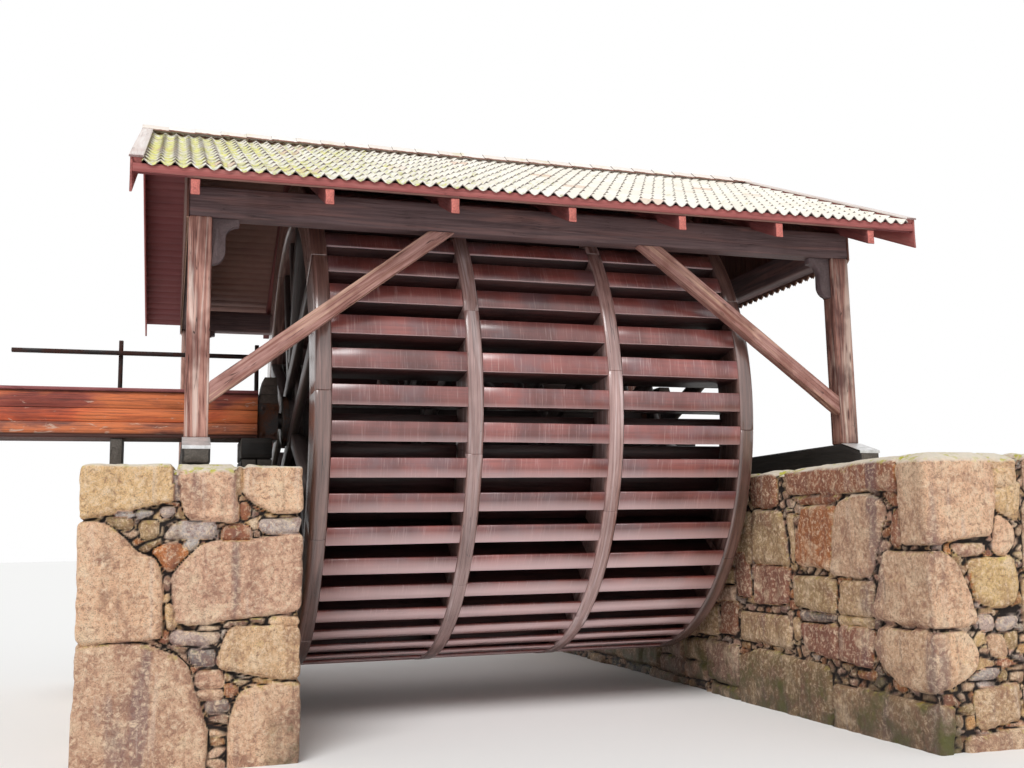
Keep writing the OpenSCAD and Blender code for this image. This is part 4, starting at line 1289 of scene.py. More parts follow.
# %% Make the right pier and the wing wall
RIGHT_CORNER = """
1 0.36 0 0.1 | -700 400 -561 400 -555 232 -557 195 -700 192 | 200 400 362 400 370 228 365 204 279
  193 200 192;
0.96 0.36 0 0 | -700 192 -525 192 -499 121 -589 116 -700 113 | 200 192 306 190 321 178 330 156 338
  122 319 113 200 112;
1 0.4 0 0 | -700 114 -552 117 -515 118 -499 98 -517 70 -545 53 -586 51 -700 50 | 200 115 326 113 339
  96 335 76 316 62 274 53 200 52;
0.66 0.5 0 0 | -700 48 -582 48 -526 54 -423 57 -423 -20 -700 -20 | 200 49 310 46 300 -20 200 -20"""
RIGHT_SIDE = """
0.72 0.95 0.01 0.05 0.6 | -256 400 -322 400 -324 244 -263 241;
0.86 0.95 0 0.06 0.6 | -341 400 -560 400 -554 251 -347 255;
0.76 0.92 0.02 0 0.4 | -346 252 -460 252 -443 242 -382 240;
0.86 0.84 0 | -379 239 -416 241 -448 238 -430 168 -361 172 -359 201;
0.96 0.34 0 | -451 243 -491 251 -516 246 -537 232 -520 201 -508 166 -491 161 -432 164 -438 210;
0.8 0.94 0.02 0 0.4 | -539 229 -552 236 -554 196 -537 194;
0.72 0.52 0.01 | -263 238 -312 241 -330 234 -343 172 -262 174;
0.86 0.5 0.03 0 0.4 | -340 231 -356 233 -352 175 -346 174;
0.84 1 0.01 | -257 172 -345 170 -336 128 -260 124;
0.74 0.55 0.01 | -351 161 -439 158 -432 121 -348 126;
0.86 0.48 0.01 | -447 158 -505 157 -498 121 -437 122;
0.5 0.02 0.03 0 0.4 | -363 122 -433 120 -428 113 -362 110;
0.95 0.58 0.02 0 0.4 | -436 120 -503 120 -498 110 -436 110;
0.72 0.5 0.01 | -222 112 -335 113 -340 74 -218 77;
0.78 1 0.01 | -363 107 -436 110 -434 71 -370 77;
0.82 1 0.01 | -439 109 -500 108 -492 69 -435 70;
0.84 0.5 0.03 0 0.4 | -343 112 -358 110 -360 88 -345 84;
0.8 0.82 0.03 0 0.4 | -462 63 -499 66 -496 57 -469 55;
0.56 0.58 0 | -216 56 -255 68 -415 63 -418 -20 -214 -20;
0.78 1 0.01 | -213 194 -248 190 -248 131 -215 131;
0.66 0.95 0.01 | -172 125 -215 124 -208 82 -162 78"""
RIGHT_FRONT = """
0.95 0.46 0.01 0.1 0.6 | 367 400 402 400 399 255 368 250;
0.96 0.52 0.01 | 367 248 404 258 400 217 371 230;
1 0.34 0.02 0 0.4 | 371 226 393 215 392 194 380 184 365 189 368 211;
0.92 0.58 0.01 | 332 179 387 185 392 166 389 138 374 131 343 137 335 155;
0.76 0.25 0.03 0 0.4 | 315 195 358 195 357 186 327 182;
0.92 0.08 0.03 0 0.4 | 339 127 361 127 361 113 345 112;
0.86 0.05 0.03 0 0.4 | 364 123 391 124 390 115 372 110 363 113;
0.84 0.4 0.03 0 0.4 | 349 109 372 109 378 92 375 86 355 87;
0.6 0.58 0.04 0 0.4 | 372 109 390 111 388 94 378 94;
0.7 0.02 0.03 0 0.4 | 322 65 342 76 366 75 358 65 333 63;
0.85 0.3 0.01 0.05 0.6 | 408 400 700 400 700 242 410 246;
0.88 0.4 0.01 | 408 240 700 238 700 172 400 168;
0.8 0.5 0.01 | 396 162 700 166 700 102 396 106;
0.74 0.25 0.01 | 394 90 700 96 700 40 390 36;
0.7 0.45 0.02 | 330 56 386 60 384 24 334 20;
0.66 0.35 0.01 | 318 14 700 34 700 -20 316 -20"""
BACK_LEVELS = (0.0, 0.12, 0.70, 1.22, 1.69, 2.42, PIER_TOP)
BACK_STARTS = (-2.10, -2.10, -1.58, -2.08, -2.58, -2.52)
OUTER_LEVELS = (0.0, 0.40, 0.98, 1.46, 2.0, 2.40, PIER_TOP)


def right_pier():
    """Corner, side and front blocks as listed, then rows further back, outside and at the rear."""
    stones = Stones("right_pier")
    low, high = stones.low, stones.high
    for look, side, front in rows_of(RIGHT_CORNER):
        stones.add(look, ((1, side), (0, front)))
    by_hand(stones, RIGHT_SIDE, 1, low[0], 0.6)
    by_hand(stones, RIGHT_FRONT, 0, low[1], 0.6)
    rear = high[1] - REAR_BLOCKS
    sides = ((wall_rows(0.0, rear, BACK_LEVELS, 0.92, 90, BACK_STARTS), 1, low[0] - OPEN, low[0] + 0.6),
             (wall_rows(low[1] + 0.63, rear, OUTER_LEVELS, 0.95, 92), 1, high[0] - 0.55, high[0] + OPEN),
             (wall_rows(low[0], high[0], OUTER_LEVELS, 0.72, 94), 0, rear + 0.02, high[1] + OPEN))
    for number, row in enumerate(sides):
        fill_side(stones, *row, 91 + 2 * number)
    fill_top(stones, low[1] + 0.65, rear, low[0] + 0.63, high[0] - 0.58, 96)
    length, width = high[1] - low[1], high[0] - low[0]
    walk = [marks((1.3, 0.022), (width - 1.3, 0.034)), marks((length, 0.075)), marks((width, 0.06)),
            marks((length - 4.4, 0.065), (4.4, 0.025))]
    return masonry(stones, walk, 0.0245, 340, shaded_side=-1)


def wing_wall():
    """Rows of blocks along the front and the rear of a short wall."""
    stones = Stones("right_wing_wall")
    low, high = stones.low, stones.high
    half, length, width = (low[1] + high[1]) / 2, high[0] - low[0], high[1] - low[1]
    rows = wall_rows(low[0], high[0], OUTER_LEVELS, 0.7, 98)
    fill_side(stones, rows, 0, low[1] - OPEN, half - 0.015, 99)
    rows = wall_rows(low[0], high[0], BACK_LEVELS, 0.7, 100)
    fill_side(stones, rows, 0, half + 0.015, high[1] + OPEN, 101)
    walk = [marks((length, 0.04)), marks((width, 0.05)), marks((length, 0.05)), marks((width, 0.06))]
    return masonry(stones, walk, 0.04, 380)


dress("right_pier", "stones", slot="granite", finish=granite, **right_pier())
dress("right_wing_wall", "stones", slot="granite", finish=granite, **wing_wall())

# %% [markdown]
# ## Painted wood of the roof
# The rafters, boards and trim are painted the old iron-oxide red. In the
# weather it has faded to pink, and under the roof it stays deep maroon.

# %% The roof's painted finishes
trim_red = wood("trim_red", (0.72, 0.40, 0.38), (0.54, 0.27, 0.26), (0.84, 0.60, 0.56),
                (0.74, 0.44, 0.41), 0.45, 0.35, 0.3, varied=0.12, dull=0.75)
rafter_red = wood("rafter_red", (0.50, 0.25, 0.24), (0.34, 0.16, 0.16), (0.62, 0.36, 0.33),
                  (0.90, 0.52, 0.47), 0.45, 0.3, 0.3, varied=0.1, dull=0.75)
soffit_red = wood("soffit_red", (0.48, 0.24, 0.24), (0.36, 0.17, 0.17), (0.58, 0.36, 0.34),
                  (0.45, 0.25, 0.24), 0.25, 0.25, 0.0, varied=0.02, dull=0.8, inside=(0.62, 0.47, 0.42))
verge_pale = wood("verge_pale", (0.93, 0.90, 0.88), (0.78, 0.66, 0.62), (0.97, 0.95, 0.94),
                  (0.66, 0.55, 0.53), 0.5, 0.3, 0.4, varied=0.05, dull=0.8)
gable_brown = wood("gable_brown", (0.46, 0.30, 0.25), (0.33, 0.19, 0.17), (0.58, 0.42, 0.35),
                   (0.74, 0.60, 0.52), 0.5, 0.3, 0.4, varied=0.15, dull=0.8)
bracket_wood = wood("bracket_wood", (0.46, 0.39, 0.40), (0.36, 0.29, 0.30), (0.55, 0.47, 0.46),
                    (0.45, 0.38, 0.38), 0.3, 0.3, 0.2, varied=0.1, dull=0.6)

# %% [markdown]
# ## The brackets
# Under the plates and the tie beams each post has two scalloped brackets, one
# in each direction: a square nose, a hollow quarter round, a short waist and a
# full quarter round back to the post. The outline is carried through the
# thickness, and its ends close onto a point from which all of it is in sight.

# %% Make the brackets
BRACKET_REACH = 0.28
BRACKET_WAIST = 0.14
BRACKET_HEIGHT = 0.5
BRACKET_NOSE = 0.07
BRACKET_THICK = 0.12
BRACKET_CUT = 0.008
BRACKET_HEART = np.array([0.05, 0.40])
ARC_STEPS = 9


def bracket_outline():
    """(out, up) from the foot at the post: a quarter of a circle of the waist's radius, then up,
    then a quarter of a circle hollowed out, then the nose and the top."""
    turn = np.linspace(0, np.pi / 2, ARC_STEPS)
    hollow = BRACKET_REACH - BRACKET_WAIST
    middle = BRACKET_HEIGHT - BRACKET_NOSE - hollow
    full = BRACKET_WAIST * np.stack([np.sin(turn), 1 - np.cos(turn)], -1)
    bay = np.stack([BRACKET_REACH - hollow * np.cos(turn), middle + hollow * np.sin(turn)], -1)
    top = [(out, BRACKET_HEIGHT) for out in (BRACKET_REACH, BRACKET_WAIST, 0.0)]
    return np.concatenate([full, bay, top, [(0.0, up) for up in (0.38, 0.25, 0.12)]])


def bracket_rings():
    """Eight brackets, each four outlines across its thickness and two hearts. The outline stands
    out from the post's inner face, along X or along Y, and is mirrored to each post."""
    outline, heart = bracket_outline(), BRACKET_HEART[None]
    inset = draw_in(outline, BRACKET_CUT, BRACKET_HEART)
    post_low, post_high = box("front_right_post")
    foot = box("front_wall_plate")[0][2] - BRACKET_HEIGHT
    faces = (post_low[0], -post_high[1])
    middles = (-(post_low[1] + post_high[1]) / 2, (post_low[0] + post_high[0]) / 2)

    def stood(shares, shapes, side, axis):
        made = np.zeros((len(shapes), len(shapes[0]), 3))
        made[..., axis] = faces[axis] - np.array(shapes)[..., 0]
        made[..., 1 - axis] = middles[axis] + np.array(shares)[:, None] * BRACKET_THICK
        made[..., 2] = foot + np.array(shapes)[..., 1]
        return made * (*side, 1)

    places = [((a, b), axis) for a in (-1, 1) for b in (-1, 1) for axis in (0, 1)]
    rings = [stood((-0.5, -0.44, 0.44, 0.5), (inset, outline, outline, inset), *place) for place in places]
    hearts = [stood((-0.5, 0.5), (heart, heart), *place)[:, 0] for place in places]
    return np.array(rings), np.array(hearts)


rings, hearts = bracket_rings()
dress("post_brackets", "carved", rings, "frame_wood", bracket_wood, hearts=hearts, seed=110)

# %% [markdown]
# ## Rafters and roof boards
# Seven rafters on each slope lie over the plates and meet at the ridge, the last
# three a little closer together. Boards laid along the eaves, tight and painted
# over, close the roof from below. Every roof piece is placed by two numbers:
# how far down the slope it lies from the ridge, and how high square to the
# slope, so one function carries both slopes.

# %% Make the rafters and roof boards
ROOF_PITCH = np.radians(24.0)
RAFTER_DEPTH = 0.16
RAFTER_WIDTH = 0.1
RAFTER_LAST_BAY = 1.26
ROOF_BOARD = 0.025
BOARD_WIDTH = 0.155
HAIR = 0.0006
SLOPES = (("front", -1), ("rear", 1))

sin, cos, fall = np.sin(ROOF_PITCH), np.cos(ROOF_PITCH), np.tan(ROOF_PITCH)
rafter_low, rafter_high = box("front_rafters")
tail_y = -rafter_low[1]
ridge_under = rafter_low[2] + tail_y * fall
roof_end = box("front_tiles")[1][0]
boards_top = RAFTER_DEPTH + ROOF_BOARD


def on_slope(x, down, rise, side):
    """Points from x, the distance down the slope and the rise square to it. The distance runs
    along (cos, -sin) of the pitch and the rise along (sin, cos), out from the ridge."""
    out, height = down * cos + rise * sin, ridge_under - down * sin + rise * cos
    return np.stack(np.broadcast_arrays(x, side * out, height), -1)


def down_to(y, rise):
    """How far down the slope a point with that rise lies at a distance y from the middle."""
    return (y - rise * sin) / cos


def rafter_sections(side):
    """Four even bays from the left and two shorter ones at the right. Each rafter's outlines are
    upright cuts at the tail and at the ridge."""
    last = rafter_high[0] - RAFTER_WIDTH
    even = np.linspace(rafter_low[0], last - 2 * RAFTER_LAST_BAY, 5)
    starts = np.concatenate([even, [last - RAFTER_LAST_BAY, last]])
    x = starts[:, None] + (0, RAFTER_WIDTH, RAFTER_WIDTH, 0)
    rise = np.array([0, 0, RAFTER_DEPTH, RAFTER_DEPTH])
    return np.stack([on_slope(x, down_to(y, rise), rise, side) for y in (tail_y, 0.0)], axis=1)


def laid_boards(side):
    """Boards along X, side by side down the slope, with a hair's gap between them."""
    first, last = down_to(0.0, RAFTER_DEPTH), down_to(tail_y, boards_top)
    edges = np.linspace(first, last, int(round((last - first) / BOARD_WIDTH)) + 1)
    down = np.stack([edges[:-1], edges[1:] - HAIR], -1)[:, [0, 1, 1, 0]]
    rise = np.array([RAFTER_DEPTH, RAFTER_DEPTH, boards_top, boards_top])
    return np.stack([on_slope(x, down, rise, side) for x in (-roof_end, roof_end)], axis=1)


for number, (word, side) in enumerate(SLOPES):
    rings = hewn(timbers(rafter_sections(side), 0.008, 0.25, 1), 0.003, 0.3, 120 + number)
    dress(word + "_rafters", "timber", rings, "roof_wood", rafter_red, seed=120 + number)
    rings = timbers(laid_boards(side), 0.0008, 1.2)
    dress(word + "_roof_boards", "laid", rings, "roof_wood", soffit_red, seed=122 + number)

# %% [markdown]
# ## Fascias, barge boards and gable boards
# Thin painted boards close the eaves and the gables. The barge boards are as
# high as the tiles, and pale, bare boards lie on top of them along the edge of
# the roof. The gable boards stand upright side by side, and each is sawn to a
# point at its foot, which gives the gable its toothed lower edge. All of them
# are outlines carried from end to end, placed from their nodes' boxes.

# %% Make the trim
TRIM = 0.025
TRIM_CUT = 0.004
TRIM_HEWN = 0.002
TRIM_CELL = 0.3
VERGE_WIDTH = 0.14
VERGE_RISE = 0.022 / cos
GABLE_BOARD = 0.15
GABLE_GAP = 0.004
POINT_RISE = 0.055
FASCIA_FILL = 0.019


def sloping_sections(node, width, ridge, foot, top, side):
    """Boards along both ends of the roof, from the eave to the ridge: upright outlines, whose
    heights fall from the middle by y times the tangent of the pitch. foot and top are heights at
    y = 0."""
    low, high = box(node)
    sections = []
    for near, far in ((-high[0], width - high[0]), (high[0] - width, high[0])):
        sections.append([[(x, side * y, z - y * fall) for x, z in
                          ((near, foot), (far, foot), (far, top), (near, top))] for y in (-low[1], ridge)])
    return sections


def gable_sections(low, high):
    """Upright boards with six corners, so that the foot can come to a point in the middle and the
    top can follow the slope, which falls by tan(pitch) from the middle of the gable."""
    edges = np.linspace(low[1], high[1], int(round((high[1] - low[1]) / GABLE_BOARD)) + 1)
    left, right = edges[:-1] + GABLE_GAP / 2, edges[1:] - GABLE_GAP / 2
    y = np.stack([left, (left + right) / 2, right], -1)[:, [0, 1, 2, 2, 1, 0]]
    x = np.array([low[0]] * 3 + [high[0]] * 3)
    foot, top = low[2] + POINT_RISE * np.array([1, 0, 1, 1, 0, 1]), high[2] - np.abs(y) * fall
    return np.stack([np.stack(np.broadcast_arrays(x, y, z), -1) for z in (foot, top)], axis=1)


barge_low, barge_high = box("front_barge_boards")
verge_high = box("front_verge_boards")[1]
barge_foot = barge_low[2] - barge_low[1] * fall
verge_foot = verge_high[2] - verge_high[1] * fall - VERGE_RISE
for number, (word, side) in enumerate(SLOPES):
    low, high = box(word + "_fascia")
    fascia = bars(low, high + (0, 0, FASCIA_FILL), 0)
    barge = sloping_sections("front_barge_boards", TRIM, 0.0, barge_foot, barge_high[2], side)
    verge = sloping_sections("front_verge_boards", VERGE_WIDTH, -verge_high[1], verge_foot,
                             verge_foot + VERGE_RISE, side)
    for part, ending, rings, finish, hewing, seed in (
            ("fascia", "board", timbers(fascia, TRIM_CUT, 0.4, 1), trim_red, 130, 130),
            ("barge_boards", "sawn", timbers(barge, TRIM_CUT, 0.3, 1), trim_red, 132, 132),
            ("verge_boards", "bare", timbers(verge, 0.003, 0.3, 2), verge_pale, 136, 138)):
        rings = hewn(rings, TRIM_HEWN, TRIM_CELL, hewing)
        dress(f"{word}_{part}", ending, rings, "red_boards", finish, seed=seed + number)
for number, node in enumerate(("left_gable_boards", "right_gable_boards"), 134):
    rings = timbers(gable_sections(*box(node)), 0.003, 0.5)
    dress(node, "upright", rings, "red_boards", gable_brown, seed=number)

# %% [markdown]
# ## Tiles
# The roof is laid with pantiles: each has two pans between narrow rolls, and its
# tail lies on the row below. At the tail the roll stands clear of the one under
# it, so each row shows a line of small dark arches, and a painted shadow at the
# foot of each tail darkens them further. The tiles are thin closed shells that
# follow one wavy line. A single wavy sheet would be cheaper, but the stepped
# rows, the arches and the slightly uneven laying would be lost.

# %% Lay the tiles
TILE_ROWS = 13
ROLL_PITCH = 0.148
ROLL_COUNT = 61
ROLL_PLACES = np.array([0.0, 0.11, 0.27, 0.5, 0.73, 0.89])
ROLL_HEIGHT = 0.045
HEAD_ROLL = 0.68
TILE_LAYER = 0.136
TILE_THICK = 0.015
TILE_LAP = 0.06
JOINT_LIFT = 0.006
LAYING = 0.004
TILE_END = roof_end - 0.085
tile_top = boards_top + TILE_LAYER
lip_y = -box("front_tiles")[0][1]
eave_down, ridge_down = down_to(lip_y, tile_top), down_to(0.0, tile_top)


def tiles(side, seed):
    """Tiles (416, 13, 4, 3), each from one roll's crest over the next to the one after. Between
    crests the rise is ROLL_HEIGHT times one minus a sine to the power 1.15: round pans and narrow
    rolls. Each ring is the thin outline from tail to head. The tail is cut upright, and the head
    lies lower by the thickness of a tile, with a flatter roll. Also gives the mark: red carries a
    painted shadow, 1 at the foot of a roll's tail, and green is the share of the roll's height."""
    draw = np.random.default_rng(seed)
    first = ridge_down + 0.01
    course = (eave_down - first) / TILE_ROWS
    width = 2 * ROLL_PITCH
    columns = np.arange(-1, ROLL_COUNT // 2 + 1)
    row, column = (a.ravel() for a in np.meshgrid(np.arange(TILE_ROWS), columns))
    start = (column[:, None] * 2 - ROLL_COUNT // 2) * ROLL_PITCH
    along = np.concatenate([ROLL_PLACES, ROLL_PLACES + 1, [2.0]]) / 2
    ends = np.clip(start + (0.0, width), -TILE_END, TILE_END)
    x = ends[:, :1] + along * (ends[:, 1:] - ends[:, :1])
    share = (x - start) / width
    wave = (1.0 - np.abs(np.sin(2 * np.pi * share)) ** 1.15)[..., None]
    tail = eave_down - row * course + np.where(row > 0, draw.uniform(-LAYING, LAYING, len(row)), 0.0)
    head = np.maximum(tail - course - TILE_LAP, first)
    level = tile_top - ROLL_HEIGHT - JOINT_LIFT - draw.uniform(0, LAYING / 2, len(row))
    lean = JOINT_LIFT * share + draw.uniform(-LAYING, 0.0, len(row))[:, None] * (1 - share)
    rise = (level[:, None] + lean)[..., None] + ROLL_HEIGHT * wave * (1, 1, HEAD_ROLL, HEAD_ROLL)
    rise = rise - np.array([0, TILE_THICK, 2 * TILE_THICK, TILE_THICK])
    down = np.stack([tail, tail, head, head], -1)[:, None] + np.zeros_like(rise)
    down[..., :2] += (tile_top - rise[..., :2]) * fall
    mark = np.zeros((*rise.shape, 4))
    # Red of the mark: painted shadow under each roll's tail, strongest under the rolls.
    mark[..., 1, 0] = np.clip(2.5 * wave[..., 0] - 0.3, 0, 1)
    mark[..., 1] = wave
    return on_slope(x[..., None], down, rise, side), mark


def battens(side):
    """Bars along X under each row's heads, from the boards up to the pans, and at each end a bar
    down the slope, which packs the verge boards up to the tiles' height."""
    high = tile_top - ROLL_HEIGHT - 3 * TILE_THICK
    places = eave_down - 0.12 - np.arange(TILE_ROWS) * (eave_down - ridge_down) / TILE_ROWS
    down = places[:, None] + (-0.03, 0.03, 0.03, -0.03)
    rise = np.array([boards_top, boards_top, high, high])
    under = np.stack([on_slope(x, down, rise, side) for x in (0.01 - TILE_END, TILE_END - 0.01)], axis=1)
    rise = np.array([boards_top, boards_top, tile_top, tile_top])
    across = [np.array([TILE_END, roof_end, roof_end, TILE_END]) * sign for sign in (-1, 1)]
    packing = [[on_slope(x, down, rise, side) for down in (places[-1], eave_down - 0.02)] for x in across]
    return timbers(under, 0.004, 2.5), timbers(packing, 0.004, 1.0)


def tile_finish():
    """Pale clay, almost white where it is dry, with a painted shadow at the foot of each tail, and
    yellow-green moss that grows in the pans, most of it at the left end."""
    f = Finish("tile_clay")
    place, foot, roll = f.place(), f.part("mark", 0), f.part("mark", 1)
    fine = f.noise(place, 14.0, 6.0, 0.68)
    grit = f.noise(place, 120.0, 3.0, 0.7)
    f.colour = (0.95, 0.93, 0.88)
    f.over(f.part("look", 0), (0.98, 0.97, 0.93))
    f.lay(f.part("look", 1), 0.93, 0.98, 0.45, (0.84, 0.62, 0.48))
    f.lay(fine, 0.56, 0.72, 0.35, (0.84, 0.79, 0.68))
    f.lay(grit, 0.60, 0.75, 0.3, (0.70, 0.64, 0.58))
    f.lay(roll, 0.35, 0.0, 0.05, (0.80, 0.76, 0.70))
    left = f.fit(f.axis(place, 0), -roof_end, 1.5, 0.17, 0.0)
    spread = f.plus(left, f.fit(roll, 0.0, 0.8, 0.05, -0.03))
    broad = f.times(f.noise(place, 1.7, 4.0, 0.6), 0.4)
    moss = f.fit(f.plus(spread, f.plus(fine, broad)), 0.83, 0.92, 0.0, 0.85)
    f.over(moss, f.blend(f.fit(grit, 0.35, 0.6), (0.88, 0.86, 0.44), (0.97, 0.97, 0.62)))
    # Painted shadow at the foot of each tile's tail.
    f.lay(foot, 0.15, 0.6, 0.85, (0.42, 0.33, 0.32))
    f.over(f.part("look", 2), (0.60, 0.50, 0.42))
    height = f.plus(f.times(moss, 1.2), f.times(grit, 0.5))
    return f.done(f.fit(moss, 0.0, 1.0, 0.72, 0.95), height, 0.008)


tile_clay = tile_finish()
under_tiles = wood("under_tiles", (0.36, 0.24, 0.21), (0.22, 0.14, 0.13), (0.46, 0.32, 0.28),
                   (0.40, 0.29, 0.26), dull=0.9)
for number, (word, side) in enumerate(SLOPES):
    rings, mark = tiles(side, 140 + number)
    dress(word + "_tiles", "laid", rings, "roof_tiles", tile_clay, values=mark, seed=140 + number)
    under, packing = battens(side)
    piece(word + "_tile_battens", under, "roof_wood", under_tiles, seed=142 + number)
    piece(word + "_verge_packing", packing, "roof_wood", trim_red, seed=142 + number)

# %% [markdown]
# ## Ridge tiles
# Bent caps cover the ridge, bleached almost white on top. Their feet are brown,
# for the bedding that shows and for painted shadow under the caps, and their ends
# are dark with painted shadow. Each laps over the next, so the ridge line has a
# small step at every cap. A cap is one roof-shaped outline in three rings.

# %% Lay the ridge tiles
RIDGE_COUNT = 27
RIDGE_WIDTH = 0.3
RIDGE_THICK = 0.022
RIDGE_FLAT = 0.1
RIDGE_LAP = 0.03
RIDGE_STEP = 0.012


def ridge_caps():
    """Rings (27, 3, 7, 3): a roof-shaped outline, thick as a tile, that is one step higher at its
    lapping end. The hearts lie just over the hollow of the underside. The mark's red is 1 at the
    two feet."""
    low, high = box("ridge_tiles")
    edge, flat = RIDGE_WIDTH / 2, RIDGE_FLAT / 2
    foot, crown = low[2], high[2] - RIDGE_STEP
    rim = foot + RIDGE_THICK
    outline = np.array([(-edge, foot), (0, foot + edge * fall), (edge, foot), (edge, rim), (flat, crown),
                        (-flat, crown), (-edge, rim)])
    starts = np.linspace(low[0], high[0], RIDGE_COUNT + 1)
    length = starts[1] - starts[0]
    laps = RIDGE_LAP * (np.arange(RIDGE_COUNT) < RIDGE_COUNT - 1)
    rings = np.zeros((RIDGE_COUNT, 3, 7, 3))
    for i, (share, lift) in enumerate(((0.0, 1.0), (0.16, 1.0), (1.0, 0.0))):
        rings[:, i, :, 0] = (starts[:-1] + share * (length + laps * (share == 1.0)))[:, None]
        rings[:, i, :, 1:] = outline + (0, RIDGE_STEP * lift)
    hearts = rings[:, [0, 2]].mean(axis=2)
    hearts[..., 1:] = (0.0, foot + edge * fall + 0.012)
    mark = np.zeros((*rings.shape[:3], 4))
    mark[:, :, [0, 2], 0] = 1.0
    return {"rings": rings, "hearts": hearts, "values": mark}


def ridge_clay():
    """Bleached clay with spots of lichen, a brown foot that wanders a little, partly bedding and
    partly painted shadow, and ends darkened by painted shadow.
    """
    f = Finish("ridge_clay")
    place = f.place()
    fine = f.noise(place, 18.0, 6.0, 0.65)
    f.colour = (0.93, 0.89, 0.85)
    f.over(f.part("look", 0), (0.98, 0.96, 0.94))
    f.lay(fine, 0.57, 0.72, 0.4, (0.80, 0.68, 0.62))
    f.lay(f.noise(place, 3.0, 4.0, 0.6), 0.58, 0.68, 0.4, (0.84, 0.80, 0.50))
    # Brown foot of each cap: partly bedding colour, partly painted shadow under the cap.
    f.lay(f.plus(f.part("mark", 0), f.times(fine, 1.2)), 0.86, 1.0, 1.0, (0.56, 0.38, 0.33))
    # Dark cap ends: painted shadow under each cap's lapping end.
    f.over(f.part("look", 2), (0.30, 0.16, 0.14))
    return f.done(f.fit(fine, 0.3, 0.7, 0.7, 0.9), fine, 0.008)


dress("ridge_tiles", "laid", slot="ridge_tiles", finish=ridge_clay(), seed=150, **ridge_caps())

# %% [markdown]
# ## Sheet metal on the sills
# Each sloping sill end carries a bent sheet of bright metal. It is a thin strip
# carried down the slope and turned over the end grain. Slight dents come from
# the same noise as before, and a Solidify modifier isn't needed, since the
# outline goes out along the inner face and back along the outer one.

# %% Bend the sheets
SHEET = 0.004
SHEET_LIP = 0.03
SHEET_DENT = 0.0025
SHEET_ACROSS = np.linspace(0, 1, 9)
SIDES = [(a, b) for a in (-1, 1) for b in (-1, 1)]


def sheet_rings():
    """Four strips (4, 11, 18, 3). The path runs along the slope from the post's outer face to the
    sill's end and then down. The outer face lies the sheet's thickness out from the inner one."""
    sill_low, sill_high = box("right_sill")
    top = box("sill_flashings")[1][2] - SHEET
    foot = top - SILL_DROP
    slope = (frame_y, top) + np.linspace(0, 1, 7)[:, None] * (sill_high[1] - frame_y, foot - top)
    lip = [(sill_high[1], foot - SHEET_LIP * share) for share in (0.12, 0.5, 0.8, 1.0)]
    path = np.concatenate([slope, lip])
    outer_path = path + SHEET * np.array([(0.0, 1.0)] * 6 + [(0.7, 0.8)] + [(1.0, 0.0)] * 4)
    strips = []
    for side_x, side_y in SIDES:
        x = side_x * (sill_low[0] + SHEET_ACROSS * (sill_high[0] - sill_low[0]))
        inner, outer = (np.stack(np.broadcast_arrays(x, side_y * way[:, :1], way[:, 1:]), -1)
                        for way in (path, outer_path))
        outer[..., 2] += SHEET_DENT * (noise(outer, 0.07, 160) - 0.5) * (outer[..., 2] > foot)
        strips.append(np.concatenate([inner, outer[:, ::-1]], axis=1))
    return np.array(strips)


def bright_sheet():
    """Galvanised sheet gone dull: pale grey with soft darker clouds and fine spots."""
    f = Finish("bright_sheet")
    place = f.place()
    cloud = f.noise(place, 9.0, 5.0, 0.6)
    spots = f.noise(place, 70.0, 4.0, 0.7)
    f.colour = f.blend(f.fit(cloud, 0.35, 0.7), (0.90, 0.90, 0.90), (0.72, 0.72, 0.71))
    f.lay(spots, 0.62, 0.75, 0.6, (0.55, 0.52, 0.48))
    return f.done(f.fit(cloud, 0.3, 0.7, 0.32, 0.55), spots, 0.001, Metallic=0.6)


dress("sill_flashings", "bent", sheet_rings(), "sheet", bright_sheet(), seed=160)

# %% [markdown]
# ## Pedestals, stools and hoods
# The axle's bearings stand on stacks of tarred beams, and two stools carry the
# box round the shaft. A hood of tapered planks keeps the rain off each bearing.
# All are bars cut from a box at given shares, so one function splits the boxes.

# %% Stack the beams
PEDESTAL_LENGTH = 0.39
PEDESTAL_SPLIT = 0.52
STOOL_LENGTH = 0.15
BEAM_GAP = 0.003


def split(low, high, axis, shares):
    """Boxes side by side between low and high, cut across an axis at the shares of its length,
    with a gap after each cut."""
    shares = np.array(shares)
    lows, highs = (np.tile(np.array(corner, float), (len(shares) - 1, 1)) for corner in (low, high))
    length = high[axis] - low[axis]
    lows[:, axis], highs[:, axis] = low[axis] + shares[:-1] * length, low[axis] + shares[1:] * length
    lows[1:, axis] += BEAM_GAP
    return lows, highs


def mirrored(sections):
    """The sections and their mirror images across X = 0."""
    return np.concatenate([sections, sections * (-1, 1, 1)])


low, high = box("pedestals")
low[0], middle = high[0] - PEDESTAL_LENGTH, low[2] + PEDESTAL_SPLIT * (high[2] - low[2])
lower = bars(*split(low, (*high[:2], middle), 0, (0.0, 0.5, 1.0)), 1)
upper = bars(*split((*low[:2], middle + BEAM_GAP), high, 1, (0.0, 0.34, 0.66, 1.0)), 0)
rings = hewn(timbers(mirrored(lower), 0.012, 0.2, 2), 0.006, 0.25, 161)
piece("pedestal_lower_beams", rings, "sill_wood", sill_wood, "pedestals", seed=161)
rings = hewn(timbers(mirrored(upper), 0.012, 0.13, 2), 0.006, 0.25, 162)
piece("pedestal_upper_beams", rings, "sill_wood", sill_wood, seed=162)

